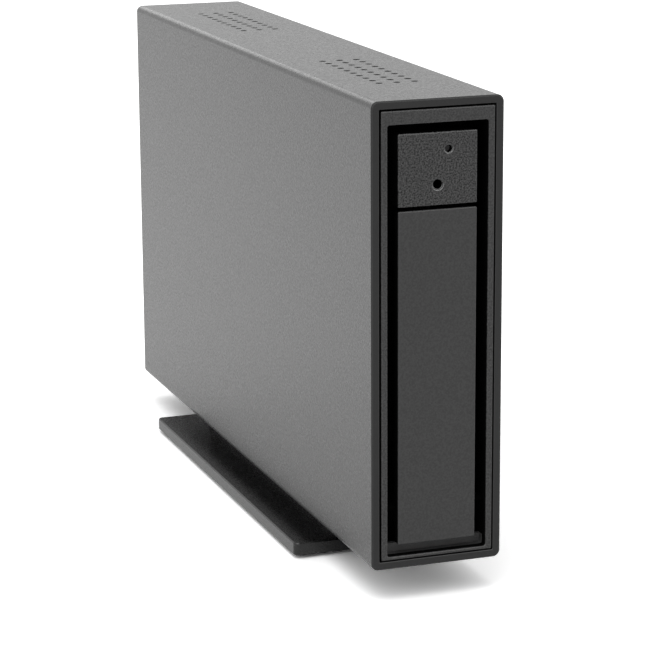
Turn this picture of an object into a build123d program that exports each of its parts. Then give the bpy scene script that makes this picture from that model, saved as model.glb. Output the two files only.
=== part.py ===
from build123d import *
import os

# External solid state drive: an upright aluminium sleeve on a flat stand. A tray that carries the drive
# slides out of the front, with a swinging handle below a push button. Ports and a power switch are behind.
# X runs across the narrow front, Y from front to back and Z up. The origin is on the surface that the drive
# stands on, midway between its sides and between its front and its back. Lengths are millimetres.

# Sleeve, an extruded tube that is open at both ends
sleeve_width = 34.6
sleeve_height = 118.0
sleeve_depth = 208.6
sleeve_wall = 2.0
sleeve_corner_radius = 1.8
opening_corner_radius = 0.3
rim_chamfer = 0.3
vent_radius = 0.93
vent_rows = 3
vent_row_pitch = 4.75
vents_per_row = 10
vent_pitch = 4.7
vent_group_inset = 48.95

# Stand under the sleeve
stand_width = 48.6
stand_length = 130.6
stand_thickness = 3.5
stand_corner_radius = 1.5
stand_chamfer = 0.3
spacer_width = 23.0
spacer_length = 112.0
spacer_height = 4.1
spacer_corner_radius = 4.0
foot_radius = 4.0
foot_proud = 0.8
foot_recess = 0.6
foot_inset = 7.0
stand_screw_spacing = 70.0

# Screws: metric three, flat-headed and pan-headed
screw_radius = 1.5
thread_gap = 0.02
screw_hole_gap = 0.2
flat_head_radius = 2.8
flat_head_height = 1.3
pan_head_radius = 2.75
pan_head_height = 1.8
pan_head_round = 0.6

# Fits between pieces
seat_gap = 0.15
slide_gap = 0.3
pin_gap = 0.05

# Tray front, a deep moulded well inside a thin frame
bezel_gap = 0.5
bezel_proud = 0.3
bezel_side_band = 1.6
bezel_top_band = 3.4
bezel_bottom_band = 0.8
bezel_edge_radius = 0.2
well_depth = 14.0
well_corner_radius = 0.6
well_back_wall = 2.0
sill_depth = 3.9
sill_height = 2.26
sill_thickness = 1.2
channel_side = 2.9
channel_top = 2.4
channel_bottom = 2.9
bezel_boss_radius = 2.6
bezel_boss_length = 4.0
bezel_boss_across = 9.0
bezel_boss_heights = (32.0, 70.0)

# Release button at the top of the well
button_height = 17.95
button_handle_gap = 1.05
button_face = 2.2
button_skirt = 1.2
button_length = 8.0
button_travel = 2.0
button_corner_radius = 0.3
button_edge_radius = 0.2
lens_across = 2.8
lens_below_top = 4.2
lens_hole_radius = 0.95
lens_hole_chamfer = 0.2
lens_recess = 1.1
lens_length = 2.0
pin_hole_radius = 1.2
pin_hole_chamfer = 0.3
pin_hole_above_bottom = 5.12
leg_across = 9.0
leg_thickness = 1.4
leg_width = 6.0
leg_hook = 0.8
leg_hook_length = 1.5
prong_across = 4.4
prong_thickness = 1.4
prong_leg = 1.1
prong_toe_height = 0.7

# Coil springs behind the button and the handle
coil_wire_radius = 0.25
coil_radius = 2.0
coil_turns = 5
coil_post_gap = 0.3
coil_post_length = 1.5
button_spring_across = 5.2
button_spring_below_middle = 0.5
handle_spring_height = 74.0

# Handle below the button, hinged near its lower end
handle_thickness = 2.5
handle_corner_radius = 0.3
handle_edge_radius = 0.2
handle_rib_thickness = 1.2
handle_rib_depth = 4.5
handle_rib_inset = 1.2
handle_rib_low = 22.0
handle_rib_high = 82.0
hinge_depth = 2.6
hinge_above_handle_foot = 9.4
hinge_pin_radius = 1.0
hinge_ear_thickness = 3.0
hinge_ear_radius = 2.4
keeper_width = 5.0
keeper_arm_height = 1.5
keeper_below_top = 6.25
keeper_reach = 7.6
keeper_barb = 1.6

# Spring catch that holds the keeper
catch_width = 5.0
catch_thickness = 0.4
catch_bar_length = 11.8
catch_bar_width = 1.4
catch_foot_width = 7.0
catch_foot_height = 7.0
catch_hook_drop = 1.7

# Guide rails, one in each long corner of the sleeve
rail_thickness = 2.0
rail_wide_leg = 5.5
rail_tall_leg = 7.0
rail_front_gap = 1.5
rail_boss_length = 12.0

# Tray behind its front: a folded channel of sheet metal
channel_sheet = 1.2
channel_behind_adapter = 1.0
channel_window_length = 46.0
channel_window_height = 56.0
channel_window_pitch = 56.0
channel_vent_width = 14.0
front_window_half = 11.3
front_window_low = 86.0
front_window_high = 109.0

# Adapter that sets the small drive in the tray
adapter_thickness = 2.5
adapter_before_drive = 8.55
adapter_behind_drive = 1.0
adapter_height = 96.0
adapter_rim = 1.5
adapter_rim_height = 4.0
adapter_boss_radius = 3.5
adapter_window_length = 46.0
adapter_window_height = 44.0
adapter_screw_inset = 6.0

# Light pipe from the backplane's indicator to the lens in the button
pipe_radius = 1.0
pipe_end_gap = 0.4
pipe_clip_depth = 5.0
pipe_clip_wall = 1.4

# Solid state drive, the common small size
drive_length = 100.45
drive_height = 69.85
drive_thickness = 7.0
drive_wall = 1.2
drive_cover_thickness = 1.0
drive_cover_chamfer = 0.3
drive_corner_radius = 2.0
drive_front_share = 0.2853
drive_screw_spacing = 61.72
drive_screw_near = 14.0
drive_screw_front_inset = 9.85
drive_boss_radius = 2.8
drive_boss_height = 3.0
drive_screw_bite = 2.8
drive_board_thickness = 1.0
drive_board_margin = 1.6
memory_chip_length = 18.0
memory_chip_height = 12.0
memory_chip_thickness = 1.2
memory_chip_columns = 2
memory_chip_rows = 4
memory_chip_gap = 3.0
controller_size = 17.0
controller_thickness = 1.4

# Drive plug and the socket that it enters
plug_below_middle = 9.0
plug_block_length = 4.0
plug_block_height = 41.0
plug_block_thickness = 3.6
blade_thickness = 1.2
blade_tip_inset = 0.2
power_blade_height = 20.6
signal_blade_height = 10.4
blade_gap = 2.4
plug_opening_gap = 0.3
plug_inset = 6.5
socket_nose_overlap = 4.2
socket_base_thickness = 5.8
socket_base_length = 4.0
slot_gap = 0.3

# Boards and their bracket behind the bay
backplane_behind_drive = 6.0
board_thickness = 1.6
backplane_width = 24.0
backplane_low = 14.0
backplane_high = 108.0
backplane_screw_inset = 4.0
indicator_screw_gap = 0.95
bracket_front_window_width = 16.0
indicator_size = 3.0
indicator_thickness = 1.2
bracket_sheet = 1.2
bracket_low = 12.0
bracket_high = 106.5
bracket_gap_from_wall = 2.5
bracket_rear_flange = 5.0
bracket_window_low = 27.0
bracket_window_high = 63.0
bracket_side_window_share = 0.32
bracket_side_window_height = 46.0
main_board_across = -6.0
main_board_low = 14.0
main_board_high = 70.0
main_board_front_gap = 3.4
standoff_radius = 2.5
standoff_inset = 4.5
header_low = 33.0
header_high = 57.0
header_width = 5.0
header_length = 6.0
bridge_chip_size = 9.0
bridge_chip_thickness = 1.0
inductor_size = 7.0
inductor_thickness = 3.2
inductor_corner = 0.9
inductor_depth_share = 0.64
capacitor_radius = 3.15
capacitor_height = 7.7
capacitor_round = 0.5
capacitor_spacing = 9.0

# Rear panel and what shows through it
rear_inset = 3.5
rear_panel_thickness = 2.0
bracket_screw_heights = (30.0, 96.0)
data_port_height = 42.5
data_port_width = 8.94
data_port_thickness = 3.26
data_port_wall = 0.3
data_port_length = 7.7
data_port_recess = 0.4
data_tongue_width = 6.7
data_tongue_thickness = 0.7
data_tongue_length = 5.0
jack_height = 27.5
jack_body_height = 11.0
jack_body_length = 12.0
jack_nose_radius = 4.0
jack_bore_radius = 2.85
jack_bore_depth = 9.5
jack_pin_radius = 1.05
jack_above_board = 6.0
jack_recess = 0.3
panel_vent_columns = 3
panel_vent_rows = 4
panel_vent_middle = 60.0
switch_height = 86.0
switch_body_width = 10.0
switch_body_height = 14.4
switch_body_length = 14.0
switch_flange_width = 12.4
switch_flange_height = 17.0
switch_flange_thickness = 1.2
switch_flange_chamfer = 0.4
switch_cavity_width = 7.6
switch_cavity_height = 12.2
switch_cavity_depth = 10.0
rocker_width = 7.0
rocker_half_height = 5.3
rocker_crest = 5.3
rocker_dip = 3.7
rocker_crest_radius = 0.4
rocker_root = 2.2
rocker_tilt = 8.0
rocker_pivot_inset = 2.8
rocker_pin_radius = 1.0
rocker_pin_length = 0.7
terminal_width = 4.8
terminal_thickness = 0.8
terminal_length = 5.0
terminal_spacing = 6.0
lead_radius = 0.7
lead_first_run = 2.5
lead_across = 1.2
lead_foot_spacing = 2.0
lead_bend_radius = 2.0
lead_foot_height = 66.0
lock_slot_width = 3.0
lock_slot_length = 7.0
lock_slot_height = 104.0

# Sizes that follow
overall_depth = sleeve_depth + bezel_proud
sleeve_front_y = -overall_depth / 2 + bezel_proud
sleeve_base_z = foot_proud + stand_thickness + spacer_height
opening_half = sleeve_width / 2 - sleeve_wall
opening_low = sleeve_wall
opening_high = sleeve_height - sleeve_wall
opening_middle = sleeve_height / 2

bezel_half = opening_half - bezel_gap
bezel_low = opening_low + bezel_gap
bezel_high = opening_high - bezel_gap
bezel_back = well_depth + well_back_wall
well_half = bezel_half - bezel_side_band
well_low = bezel_low + bezel_bottom_band
well_high = bezel_high - bezel_top_band

panel_width = 2 * (well_half - channel_side)
button_high = well_high - channel_top
button_low = button_high - button_height
button_middle = (button_high + button_low) / 2
lens_height = button_high - lens_below_top
pin_hole_height = button_low + pin_hole_above_bottom
button_spring_height = button_middle - button_spring_below_middle
handle_high = button_low - button_handle_gap
handle_low = well_low + channel_bottom
hinge_height = handle_low + hinge_above_handle_foot

rail_front = bezel_back + rail_front_gap
rear_screw_across = opening_half - rail_wide_leg / 2
rear_screw_rise = (opening_high - opening_low - rail_tall_leg) / 2
panel_front = sleeve_depth - rear_inset - rear_panel_thickness
panel_back = sleeve_depth - rear_inset
tray_half = opening_half - rail_thickness - slide_gap
tray_low = opening_low + rail_thickness + slide_gap
tray_high = opening_high - rail_thickness - slide_gap
web_inner = -tray_half + channel_sheet

drive_low_x = -drive_thickness / 2
drive_high_x = drive_thickness / 2
spare_depth = panel_front - board_thickness - backplane_behind_drive - drive_length - bezel_back
drive_front_depth = bezel_back + drive_front_share * spare_depth
drive_back_depth = drive_front_depth + drive_length
drive_middle_depth = drive_back_depth - drive_length / 2
drive_screw_far = drive_length - drive_screw_front_inset
adapter_front = drive_front_depth - adapter_before_drive
adapter_back = drive_back_depth + adapter_behind_drive
channel_length = adapter_back + channel_behind_adapter - bezel_back
drive_board_x = drive_low_x + drive_boss_height
plug_middle = opening_middle - plug_below_middle
plug_x = (drive_low_x + drive_wall + drive_high_x - drive_cover_thickness) / 2
blades_height = power_blade_height + blade_gap + signal_blade_height
power_blade_middle = plug_middle - blades_height / 2 + power_blade_height / 2
signal_blade_middle = plug_middle + blades_height / 2 - signal_blade_height / 2

socket_nose_height = plug_block_height + 2 * slot_gap
keeper_low = handle_high - keeper_below_top
keeper_top = keeper_low + keeper_arm_height + keeper_barb
catch_low = keeper_top + slide_gap
catch_hook_face = handle_thickness + keeper_reach - keeper_barb - slide_gap
catch_front = catch_hook_face - catch_thickness - catch_bar_width
catch_screw_height = catch_low + catch_foot_height / 2
prong_front = handle_thickness + slide_gap
prong_tip = catch_front - slide_gap
prong_low = keeper_low + keeper_arm_height

backplane_depth = drive_back_depth + backplane_behind_drive
backplane_back = backplane_depth + board_thickness
bracket_half = opening_half - bracket_gap_from_wall
bracket_front = backplane_back
main_board_face = main_board_across + board_thickness
main_board_front = backplane_back + main_board_front_gap
main_board_back = panel_front - bezel_gap
data_port_x = main_board_face + data_port_thickness / 2
jack_x = main_board_face + jack_above_board
jack_front = panel_front - jack_body_length
inductor_depth = main_board_front + inductor_depth_share * (jack_front - main_board_front)
pivot_depth = panel_back - rocker_pivot_inset

QUARTER_TURN = 90
HANGING = (Align.CENTER, Align.CENTER, Align.MAX)
STANDING = (Align.CENTER, Align.CENTER, Align.MIN)


def facing(depth):
    """Plane that faces the front: x across, y up from the sleeve's underside, at a depth behind its front."""
    return Plane(origin=(0, sleeve_front_y + depth, sleeve_base_z), x_dir=(1, 0, 0), z_dir=(0, -1, 0))


def behind(depth):
    """Plane that faces the back: x runs the other way across, y up."""
    return Plane(origin=(0, sleeve_front_y + depth, sleeve_base_z), x_dir=(-1, 0, 0), z_dir=(0, 1, 0))


def rightward(across):
    """Plane that faces the right-hand side: x is the depth, y the height."""
    return Plane(origin=(across, sleeve_front_y, sleeve_base_z), x_dir=(0, 1, 0), z_dir=(1, 0, 0))


def leftward(across):
    """Plane that faces the left-hand side: x is the depth with its sign turned, y the height."""
    return Plane(origin=(across, sleeve_front_y, sleeve_base_z), x_dir=(0, -1, 0), z_dir=(-1, 0, 0))


def level(height):
    """Plane that faces up: x across, y the depth, at a height above the sleeve's underside."""
    return Plane(origin=(0, sleeve_front_y, sleeve_base_z + height), x_dir=(1, 0, 0), z_dir=(0, 0, 1))


def underneath(height):
    """Plane that faces down: x across, y the depth with its sign turned."""
    return Plane(origin=(0, sleeve_front_y, sleeve_base_z + height), x_dir=(1, 0, 0), z_dir=(0, 0, -1))


def keep(builder, name):
    """Label a finished piece and write it to its own file."""
    builder.part.label = name
    export_step(builder.part, f"parts/{name}.step")


def block(plane, middle, size, length, mode=Mode.ADD):
    """Straight block behind a plane, with its middle and size in the plane and its length away from it."""
    with BuildSketch(plane) as outline:
        with Locations(middle):
            Rectangle(size[0], size[1])
    extrude(outline.sketch, amount=-length, mode=mode)


def flat_screws(name, plane, points, length):
    """Flat-headed screws whose heads lie flush with a plane."""
    with BuildPart(plane) as screws:
        with Locations(*points):
            Cone(screw_radius, flat_head_radius, flat_head_height, align=HANGING)
            Cylinder(screw_radius, length, align=HANGING)
    keep(screws, name)


def pan_screws(name, plane, points, length):
    """Pan-headed screws whose heads bear on a plane."""
    with BuildPart(plane) as screws:
        with Locations(*points):
            Cylinder(pan_head_radius, pan_head_height, align=STANDING)
            Cylinder(screw_radius, length, align=HANGING)
        crowns = screws.edges().filter_by(GeomType.CIRCLE).group_by(SortBy.RADIUS)[-1]
        outer = crowns.group_by(Axis(plane.origin, plane.z_dir))[-1]
        fillet(outer, radius=pan_head_round)
    keep(screws, name)


def round_holes(plane, points, radius, depth):
    """Blind round holes bored into the current part behind a plane."""
    with Locations(plane):
        with Locations(*points):
            Cylinder(radius, depth, align=HANGING, mode=Mode.SUBTRACT)


def sunk_holes(plane, points, depth):
    """Countersunk screw holes behind a plane, a little wider than the screws that fill them."""
    with Locations(plane):
        with Locations(*points):
            Cylinder(screw_radius + screw_hole_gap, depth, align=HANGING, mode=Mode.SUBTRACT)
            Cone(
                screw_radius + thread_gap,
                flat_head_radius + thread_gap,
                flat_head_height + thread_gap,
                align=HANGING,
                mode=Mode.SUBTRACT,
            )


def coil_spring(across, height, front, back):
    """Compression spring along the depth, wound between its front and back ends."""
    run = back - front - 2 * coil_wire_radius
    start = facing(front + coil_wire_radius).from_local_coords((across, height, 0))
    with BuildLine() as coil:
        Helix(pitch=run / coil_turns, height=run, radius=coil_radius, center=start, direction=(0, 1, 0))
    with BuildSketch(Plane(origin=coil.line @ 0, z_dir=coil.line % 0)) as wire:
        Circle(coil_wire_radius)
    sweep(wire.sketch, path=coil.line, is_frenet=True)


def stand_screw_points():
    """Places of the stand's screws, seen from below."""
    middle = -sleeve_depth / 2
    return [(0, middle + side * stand_screw_spacing / 2) for side in (-1, 1)]


def foot_points():
    """Places of the stand's feet, seen from below."""
    across = stand_width / 2 - foot_inset
    along = stand_length / 2 - foot_inset
    middle = -sleeve_depth / 2
    return [(i * across, middle + j * along) for i in (-1, 1) for j in (-1, 1)]


def rear_screw_points():
    """Places of the rear panel's corner screws, each in the middle of a guide rail's solid end."""
    rises = (-rear_screw_rise, rear_screw_rise)
    return [(i * rear_screw_across, opening_middle + rise) for i in (-1, 1) for rise in rises]


def bracket_screw_points():
    """Places of the screws that hold the board bracket, seen from behind."""
    across = bracket_half - bracket_sheet - (bracket_rear_flange - bracket_sheet) / 2
    return [(across, height) for height in bracket_screw_heights]


def tray_screw_points():
    """Places of the screws that hold the tray's channel to its front."""
    return [(i * bezel_boss_across, height) for i in (-1, 1) for height in bezel_boss_heights]


def drive_screw_points():
    """Places of the drive's own threaded holes, as depth and height."""
    half = drive_screw_spacing / 2
    depths = (drive_back_depth - drive_screw_near, drive_back_depth - drive_screw_far)
    return [(depth, opening_middle + side * half) for depth in depths for side in (-1, 1)]


def adapter_screw_points():
    """Places of the screws that hold the adapter to the tray, as depth and height."""
    depths = (adapter_front + adapter_screw_inset, adapter_back - adapter_screw_inset)
    half = adapter_height / 2 - adapter_screw_inset
    return [(depth, opening_middle + side * half) for depth in depths for side in (-1, 1)]


def standoff_points():
    """Places of the main board's standoffs, as depth and height."""
    depths = (main_board_front + standoff_inset, main_board_back - standoff_inset)
    heights = (main_board_low + standoff_inset, main_board_high - standoff_inset)
    return [(depth, height) for depth in depths for height in heights]


def backplane_screw_points():
    """Places of the backplane's screws in its four corners."""
    across = lens_across + indicator_size / 2 + pan_head_radius + indicator_screw_gap
    heights = (backplane_low + backplane_screw_inset, bracket_high - backplane_screw_inset)
    return [(i * across, height) for i in (-1, 1) for height in heights]


def turned(points):
    """The same points on a plane that faces the other way, where the first coordinate changes its sign."""
    return [(-first, second) for first, second in points]


def make_sleeve():
    """Extruded sleeve with two groups of round vents in its top."""
    with BuildPart() as sleeve:
        with BuildSketch(facing(0)):
            with Locations((0, sleeve_height / 2)):
                RectangleRounded(sleeve_width, sleeve_height, sleeve_corner_radius)
                RectangleRounded(
                    2 * opening_half, opening_high - opening_low, opening_corner_radius, mode=Mode.SUBTRACT
                )
        extrude(amount=-sleeve_depth)
        ends = sleeve.faces().filter_by(Axis.Y)
        rims = [end.outer_wire().edges() for end in (ends.sort_by(Axis.Y)[0], ends.sort_by(Axis.Y)[-1])]
        chamfer(rims[0] + rims[1], length=rim_chamfer)
        with BuildSketch(level(sleeve_height)):
            with Locations((0, vent_group_inset), (0, sleeve_depth - vent_group_inset)):
                with GridLocations(vent_row_pitch, vent_pitch, vent_rows, vents_per_row):
                    Circle(vent_radius)
        extrude(amount=-sleeve_wall, mode=Mode.SUBTRACT)
        round_holes(underneath(0), stand_screw_points(), screw_radius + thread_gap, sleeve_wall)
    keep(sleeve, "sleeve")


def make_stand():
    """Flat plate on four feet, with a narrow spacer that lifts the sleeve off it."""
    plate_top = -spacer_height
    plate_bottom = plate_top - stand_thickness
    with BuildPart() as plate:
        with BuildSketch(level(plate_top)):
            with Locations((0, sleeve_depth / 2)):
                RectangleRounded(stand_width, stand_length, stand_corner_radius)
        extrude(amount=-stand_thickness)
        ends = plate.faces().filter_by(Axis.Z)
        chamfer(ends.sort_by(Axis.Z)[-1].edges() + ends.sort_by(Axis.Z)[0].edges(), length=stand_chamfer)
        round_holes(underneath(plate_bottom), foot_points(), foot_radius + seat_gap, foot_recess)
        sunk_holes(underneath(plate_bottom), stand_screw_points(), stand_thickness)
    keep(plate, "stand_plate")

    with BuildPart() as spacer:
        with BuildSketch(level(0)):
            with Locations((0, sleeve_depth / 2)):
                RectangleRounded(spacer_width, spacer_length, spacer_corner_radius)
        extrude(amount=-spacer_height)
        round_holes(underneath(plate_top), stand_screw_points(), screw_radius + screw_hole_gap, spacer_height)
    keep(spacer, "stand_spacer")

    with BuildPart(underneath(plate_bottom - foot_proud)) as feet:
        with Locations(*foot_points()):
            Cylinder(foot_radius, foot_proud + foot_recess, align=HANGING)
        treads = feet.faces().filter_by(Axis.Z).group_by(Axis.Z)[0]
        chamfer(treads.edges(), length=stand_chamfer)
    keep(feet, "stand_feet")

    length = stand_thickness + spacer_height + sleeve_wall
    flat_screws("stand_screws", underneath(plate_bottom), stand_screw_points(), length)


def make_guide_rails():
    """Angle-section rails in the sleeve's long corners, each with a solid end for a rear screw."""
    length = panel_front - rail_front
    toward_middle = {1: Align.MAX, -1: Align.MIN}
    for row_name, row in (("upper", 1), ("lower", -1)):
        corner_height = opening_middle + row * (opening_high - opening_low) / 2
        for side_name, side in (("left", -1), ("right", 1)):
            corner = (side * opening_half, corner_height)
            lean = (toward_middle[side], toward_middle[row])
            with BuildPart() as rail:
                with BuildSketch(facing(rail_front)):
                    with Locations(corner):
                        Rectangle(rail_wide_leg, rail_thickness, align=lean)
                        Rectangle(rail_thickness, rail_tall_leg, align=lean)
                extrude(amount=-length)
                with BuildSketch(facing(panel_front - rail_boss_length)):
                    with Locations(corner):
                        Rectangle(rail_wide_leg, rail_tall_leg, align=lean)
                extrude(amount=-rail_boss_length)
                outer_edge = rail.edges().filter_by(Axis.Y).sort_by_distance(
                    facing(rail_front).from_local_coords((corner[0], corner[1], 0))
                )[0]
                chamfer(outer_edge, length=opening_corner_radius)
                screw = (-side * rear_screw_across, opening_middle + row * rear_screw_rise)
                round_holes(behind(panel_front), [screw], screw_radius + thread_gap, rail_boss_length)
            keep(rail, f"guide_rail_{row_name}_{side_name}")


def make_rear_panel():
    """Flat rear panel, set in a little way, with its ports, vents, lock slot and switch opening."""
    with BuildPart() as panel:
        with BuildSketch(behind(panel_back)):
            with Locations((0, opening_middle)):
                RectangleRounded(
                    2 * (opening_half - seat_gap),
                    opening_high - opening_low - 2 * seat_gap,
                    opening_corner_radius,
                )
            with Locations((-data_port_x, data_port_height)):
                SlotOverall(
                    data_port_width + 2 * seat_gap,
                    data_port_thickness + 2 * seat_gap,
                    rotation=QUARTER_TURN,
                    mode=Mode.SUBTRACT,
                )
            with Locations((-jack_x, jack_height)):
                Circle(jack_nose_radius + seat_gap, mode=Mode.SUBTRACT)
            with Locations((0, switch_height)):
                Rectangle(
                    switch_body_width + 2 * seat_gap, switch_body_height + 2 * seat_gap, mode=Mode.SUBTRACT
                )
            with Locations((0, lock_slot_height)):
                SlotOverall(lock_slot_length, lock_slot_width, mode=Mode.SUBTRACT)
            with Locations((0, panel_vent_middle)):
                with GridLocations(vent_row_pitch, vent_pitch, panel_vent_columns, panel_vent_rows):
                    Circle(vent_radius, mode=Mode.SUBTRACT)
        extrude(amount=-rear_panel_thickness)
        sunk_holes(behind(panel_back), turned(rear_screw_points()), rear_panel_thickness)
        sunk_holes(behind(panel_back), bracket_screw_points(), rear_panel_thickness)
    keep(panel, "rear_panel")
    flat_screws("rear_panel_screws", behind(panel_back), turned(rear_screw_points()), rail_boss_length / 2)
    bracket_length = rear_panel_thickness + bracket_sheet
    flat_screws("bracket_screws", behind(panel_back), bracket_screw_points(), bracket_length)


def make_board_bracket():
    """Folded bracket that holds both boards: a flange to the front, a side web and a flange to the rear."""
    middle = (bracket_low + bracket_high) / 2
    height = bracket_high - bracket_low
    length = panel_front - bracket_front
    with BuildPart() as bracket:
        with BuildSketch(level(bracket_high)):
            with BuildLine():
                Polyline(
                    (backplane_width / 2, bracket_front + bracket_sheet / 2),
                    (-bracket_half + bracket_sheet / 2, bracket_front + bracket_sheet / 2),
                    (-bracket_half + bracket_sheet / 2, panel_front - bracket_sheet / 2),
                    (-bracket_half + bracket_rear_flange, panel_front - bracket_sheet / 2),
                )
                offset(amount=bracket_sheet / 2, kind=Kind.INTERSECTION)
            make_face()
        extrude(amount=-height)
        window_height = bracket_window_high - bracket_window_low
        window_middle = (bracket_window_high + bracket_window_low) / 2
        window_size = (bracket_front_window_width, window_height)
        block(facing(bracket_front), (0, window_middle), window_size, bracket_sheet, Mode.SUBTRACT)
        side_window = (bracket_side_window_share * length, bracket_side_window_height)
        side_middle = (bracket_front + length / 2, middle)
        inner_face = rightward(-bracket_half + bracket_sheet)
        block(inner_face, side_middle, side_window, bracket_sheet, Mode.SUBTRACT)
        hole = screw_radius + thread_gap
        round_holes(facing(bracket_front), backplane_screw_points(), hole, bracket_sheet)
        round_holes(behind(panel_front), bracket_screw_points(), hole, bracket_sheet)
    keep(bracket, "board_bracket")


def make_backplane():
    """Board across the back of the bay, with the drive's socket and the indicator on its front."""
    with BuildPart() as board:
        middle = (0, (backplane_low + backplane_high) / 2)
        size = (backplane_width, backplane_high - backplane_low)
        block(facing(backplane_depth), middle, size, board_thickness)
        round_holes(
            facing(backplane_depth), backplane_screw_points(), screw_radius + screw_hole_gap, board_thickness
        )
    keep(board, "backplane_board")
    pan_screws(
        "backplane_screws", facing(backplane_depth), backplane_screw_points(), board_thickness + bracket_sheet
    )

    nose_front = drive_back_depth - socket_nose_overlap
    nose_thickness = plug_block_thickness + 2 * slot_gap
    with BuildPart() as socket:
        nose = (nose_thickness, socket_nose_height)
        block(facing(nose_front), (plug_x, plug_middle), nose, backplane_depth - nose_front)
        base = (socket_base_thickness, socket_nose_height + socket_base_length)
        block(
            facing(backplane_depth - socket_base_length), (plug_x, plug_middle), base, socket_base_length
        )
        slot_depth = drive_back_depth - blade_tip_inset - nose_front + slot_gap
        for blade_middle, blade_height in (
            (power_blade_middle, power_blade_height),
            (signal_blade_middle, signal_blade_height),
        ):
            slot = (blade_thickness + 2 * slot_gap, blade_height + 2 * slot_gap)
            block(facing(nose_front), (plug_x, blade_middle), slot, slot_depth, Mode.SUBTRACT)
    keep(socket, "drive_socket")

    with BuildPart() as indicator:
        size = (indicator_size, indicator_size)
        face = facing(backplane_depth - indicator_thickness)
        block(face, (lens_across, lens_height), size, indicator_thickness)
    keep(indicator, "indicator_light")

    with BuildPart() as header:
        middle = (main_board_face + header_width / 2, (header_low + header_high) / 2)
        size = (header_width, header_high - header_low)
        block(facing(backplane_back), middle, size, main_board_front_gap + header_length)
    keep(header, "board_header")


def make_main_board():
    """Main board on standoffs, with the chips that join the drive to the outside."""
    middle_depth = (main_board_front + main_board_back) / 2
    middle = (middle_depth, (main_board_low + main_board_high) / 2)
    size = (main_board_back - main_board_front, main_board_high - main_board_low)
    web_face = -bracket_half + bracket_sheet
    with BuildPart() as board:
        block(rightward(main_board_face), middle, size, board_thickness)
        round_holes(
            rightward(main_board_face), standoff_points(), screw_radius + screw_hole_gap, board_thickness
        )
    keep(board, "main_board")

    standoff_length = main_board_across - web_face
    with BuildPart(rightward(main_board_across)) as standoffs:
        with Locations(*standoff_points()):
            Cylinder(standoff_radius, standoff_length, align=HANGING)
            Cylinder(screw_radius + thread_gap, standoff_length, align=HANGING, mode=Mode.SUBTRACT)
    keep(standoffs, "board_standoffs")
    bite = board_thickness + standoff_length / 2
    pan_screws("main_board_screws", rightward(main_board_face), standoff_points(), bite)

    with BuildPart() as chip:
        face = rightward(main_board_face + bridge_chip_thickness)
        block(face, middle, (bridge_chip_size, bridge_chip_size), bridge_chip_thickness)
    keep(chip, "bridge_chip")

    with BuildPart() as inductor:
        face = rightward(main_board_face + inductor_thickness)
        place = (inductor_depth, jack_height)
        block(face, place, (inductor_size, inductor_size), inductor_thickness)
        chamfer(inductor.edges().filter_by(Axis.X), length=inductor_corner)
    keep(inductor, "power_inductor")

    with BuildPart(rightward(main_board_face)) as capacitors:
        with Locations((middle_depth, main_board_high - 2 * standoff_inset)):
            with GridLocations(capacitor_spacing, 0, 2, 1):
                Cylinder(capacitor_radius, capacitor_height, align=STANDING)
        tops = capacitors.faces().filter_by(Axis.X).group_by(Axis.X)[-1]
        fillet(tops.edges(), radius=capacitor_round)
    keep(capacitors, "filter_capacitors")


def make_ports():
    """Data port and power jack on the main board, both reaching through the rear panel."""
    shell_back = panel_back - data_port_recess
    with BuildPart() as shell:
        with BuildSketch(behind(shell_back)):
            with Locations((-data_port_x, data_port_height)):
                SlotOverall(data_port_width, data_port_thickness, rotation=QUARTER_TURN)
        extrude(amount=-data_port_length)
        with BuildSketch(behind(shell_back)):
            with Locations((-data_port_x, data_port_height)):
                bore_width = data_port_width - 2 * data_port_wall
                SlotOverall(bore_width, data_port_thickness - 2 * data_port_wall, rotation=QUARTER_TURN)
        extrude(amount=-(data_port_length - data_port_wall), mode=Mode.SUBTRACT)
    keep(shell, "data_port_shell")

    with BuildPart() as tongue:
        root = shell_back - data_port_length + data_port_wall
        block(
            behind(root + data_tongue_length),
            (-data_port_x, data_port_height),
            (data_tongue_thickness, data_tongue_width),
            data_tongue_length,
        )
    keep(tongue, "data_port_tongue")

    nose_back = panel_back - jack_recess
    with BuildPart() as jack:
        with BuildSketch(behind(panel_front)):
            with Locations((-jack_x, jack_height)):
                Rectangle(2 * jack_above_board, jack_body_height)
        extrude(amount=-jack_body_length)
        round_holes(behind(nose_back), [(-jack_x, jack_height)], jack_bore_radius, jack_bore_depth)
        with BuildSketch(behind(nose_back)):
            with Locations((-jack_x, jack_height)):
                Circle(jack_nose_radius)
                Circle(jack_bore_radius, mode=Mode.SUBTRACT)
        extrude(amount=-(nose_back - panel_front))
    keep(jack, "power_jack")

    with BuildPart(behind(nose_back - jack_bore_depth)) as pin:
        with Locations((-jack_x, jack_height)):
            Cylinder(jack_pin_radius, jack_bore_depth - jack_pin_radius, align=STANDING)
        fillet(pin.faces().sort_by(Axis.Y)[-1].edges(), radius=jack_pin_radius / 2)
    keep(pin, "power_jack_pin")


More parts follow.
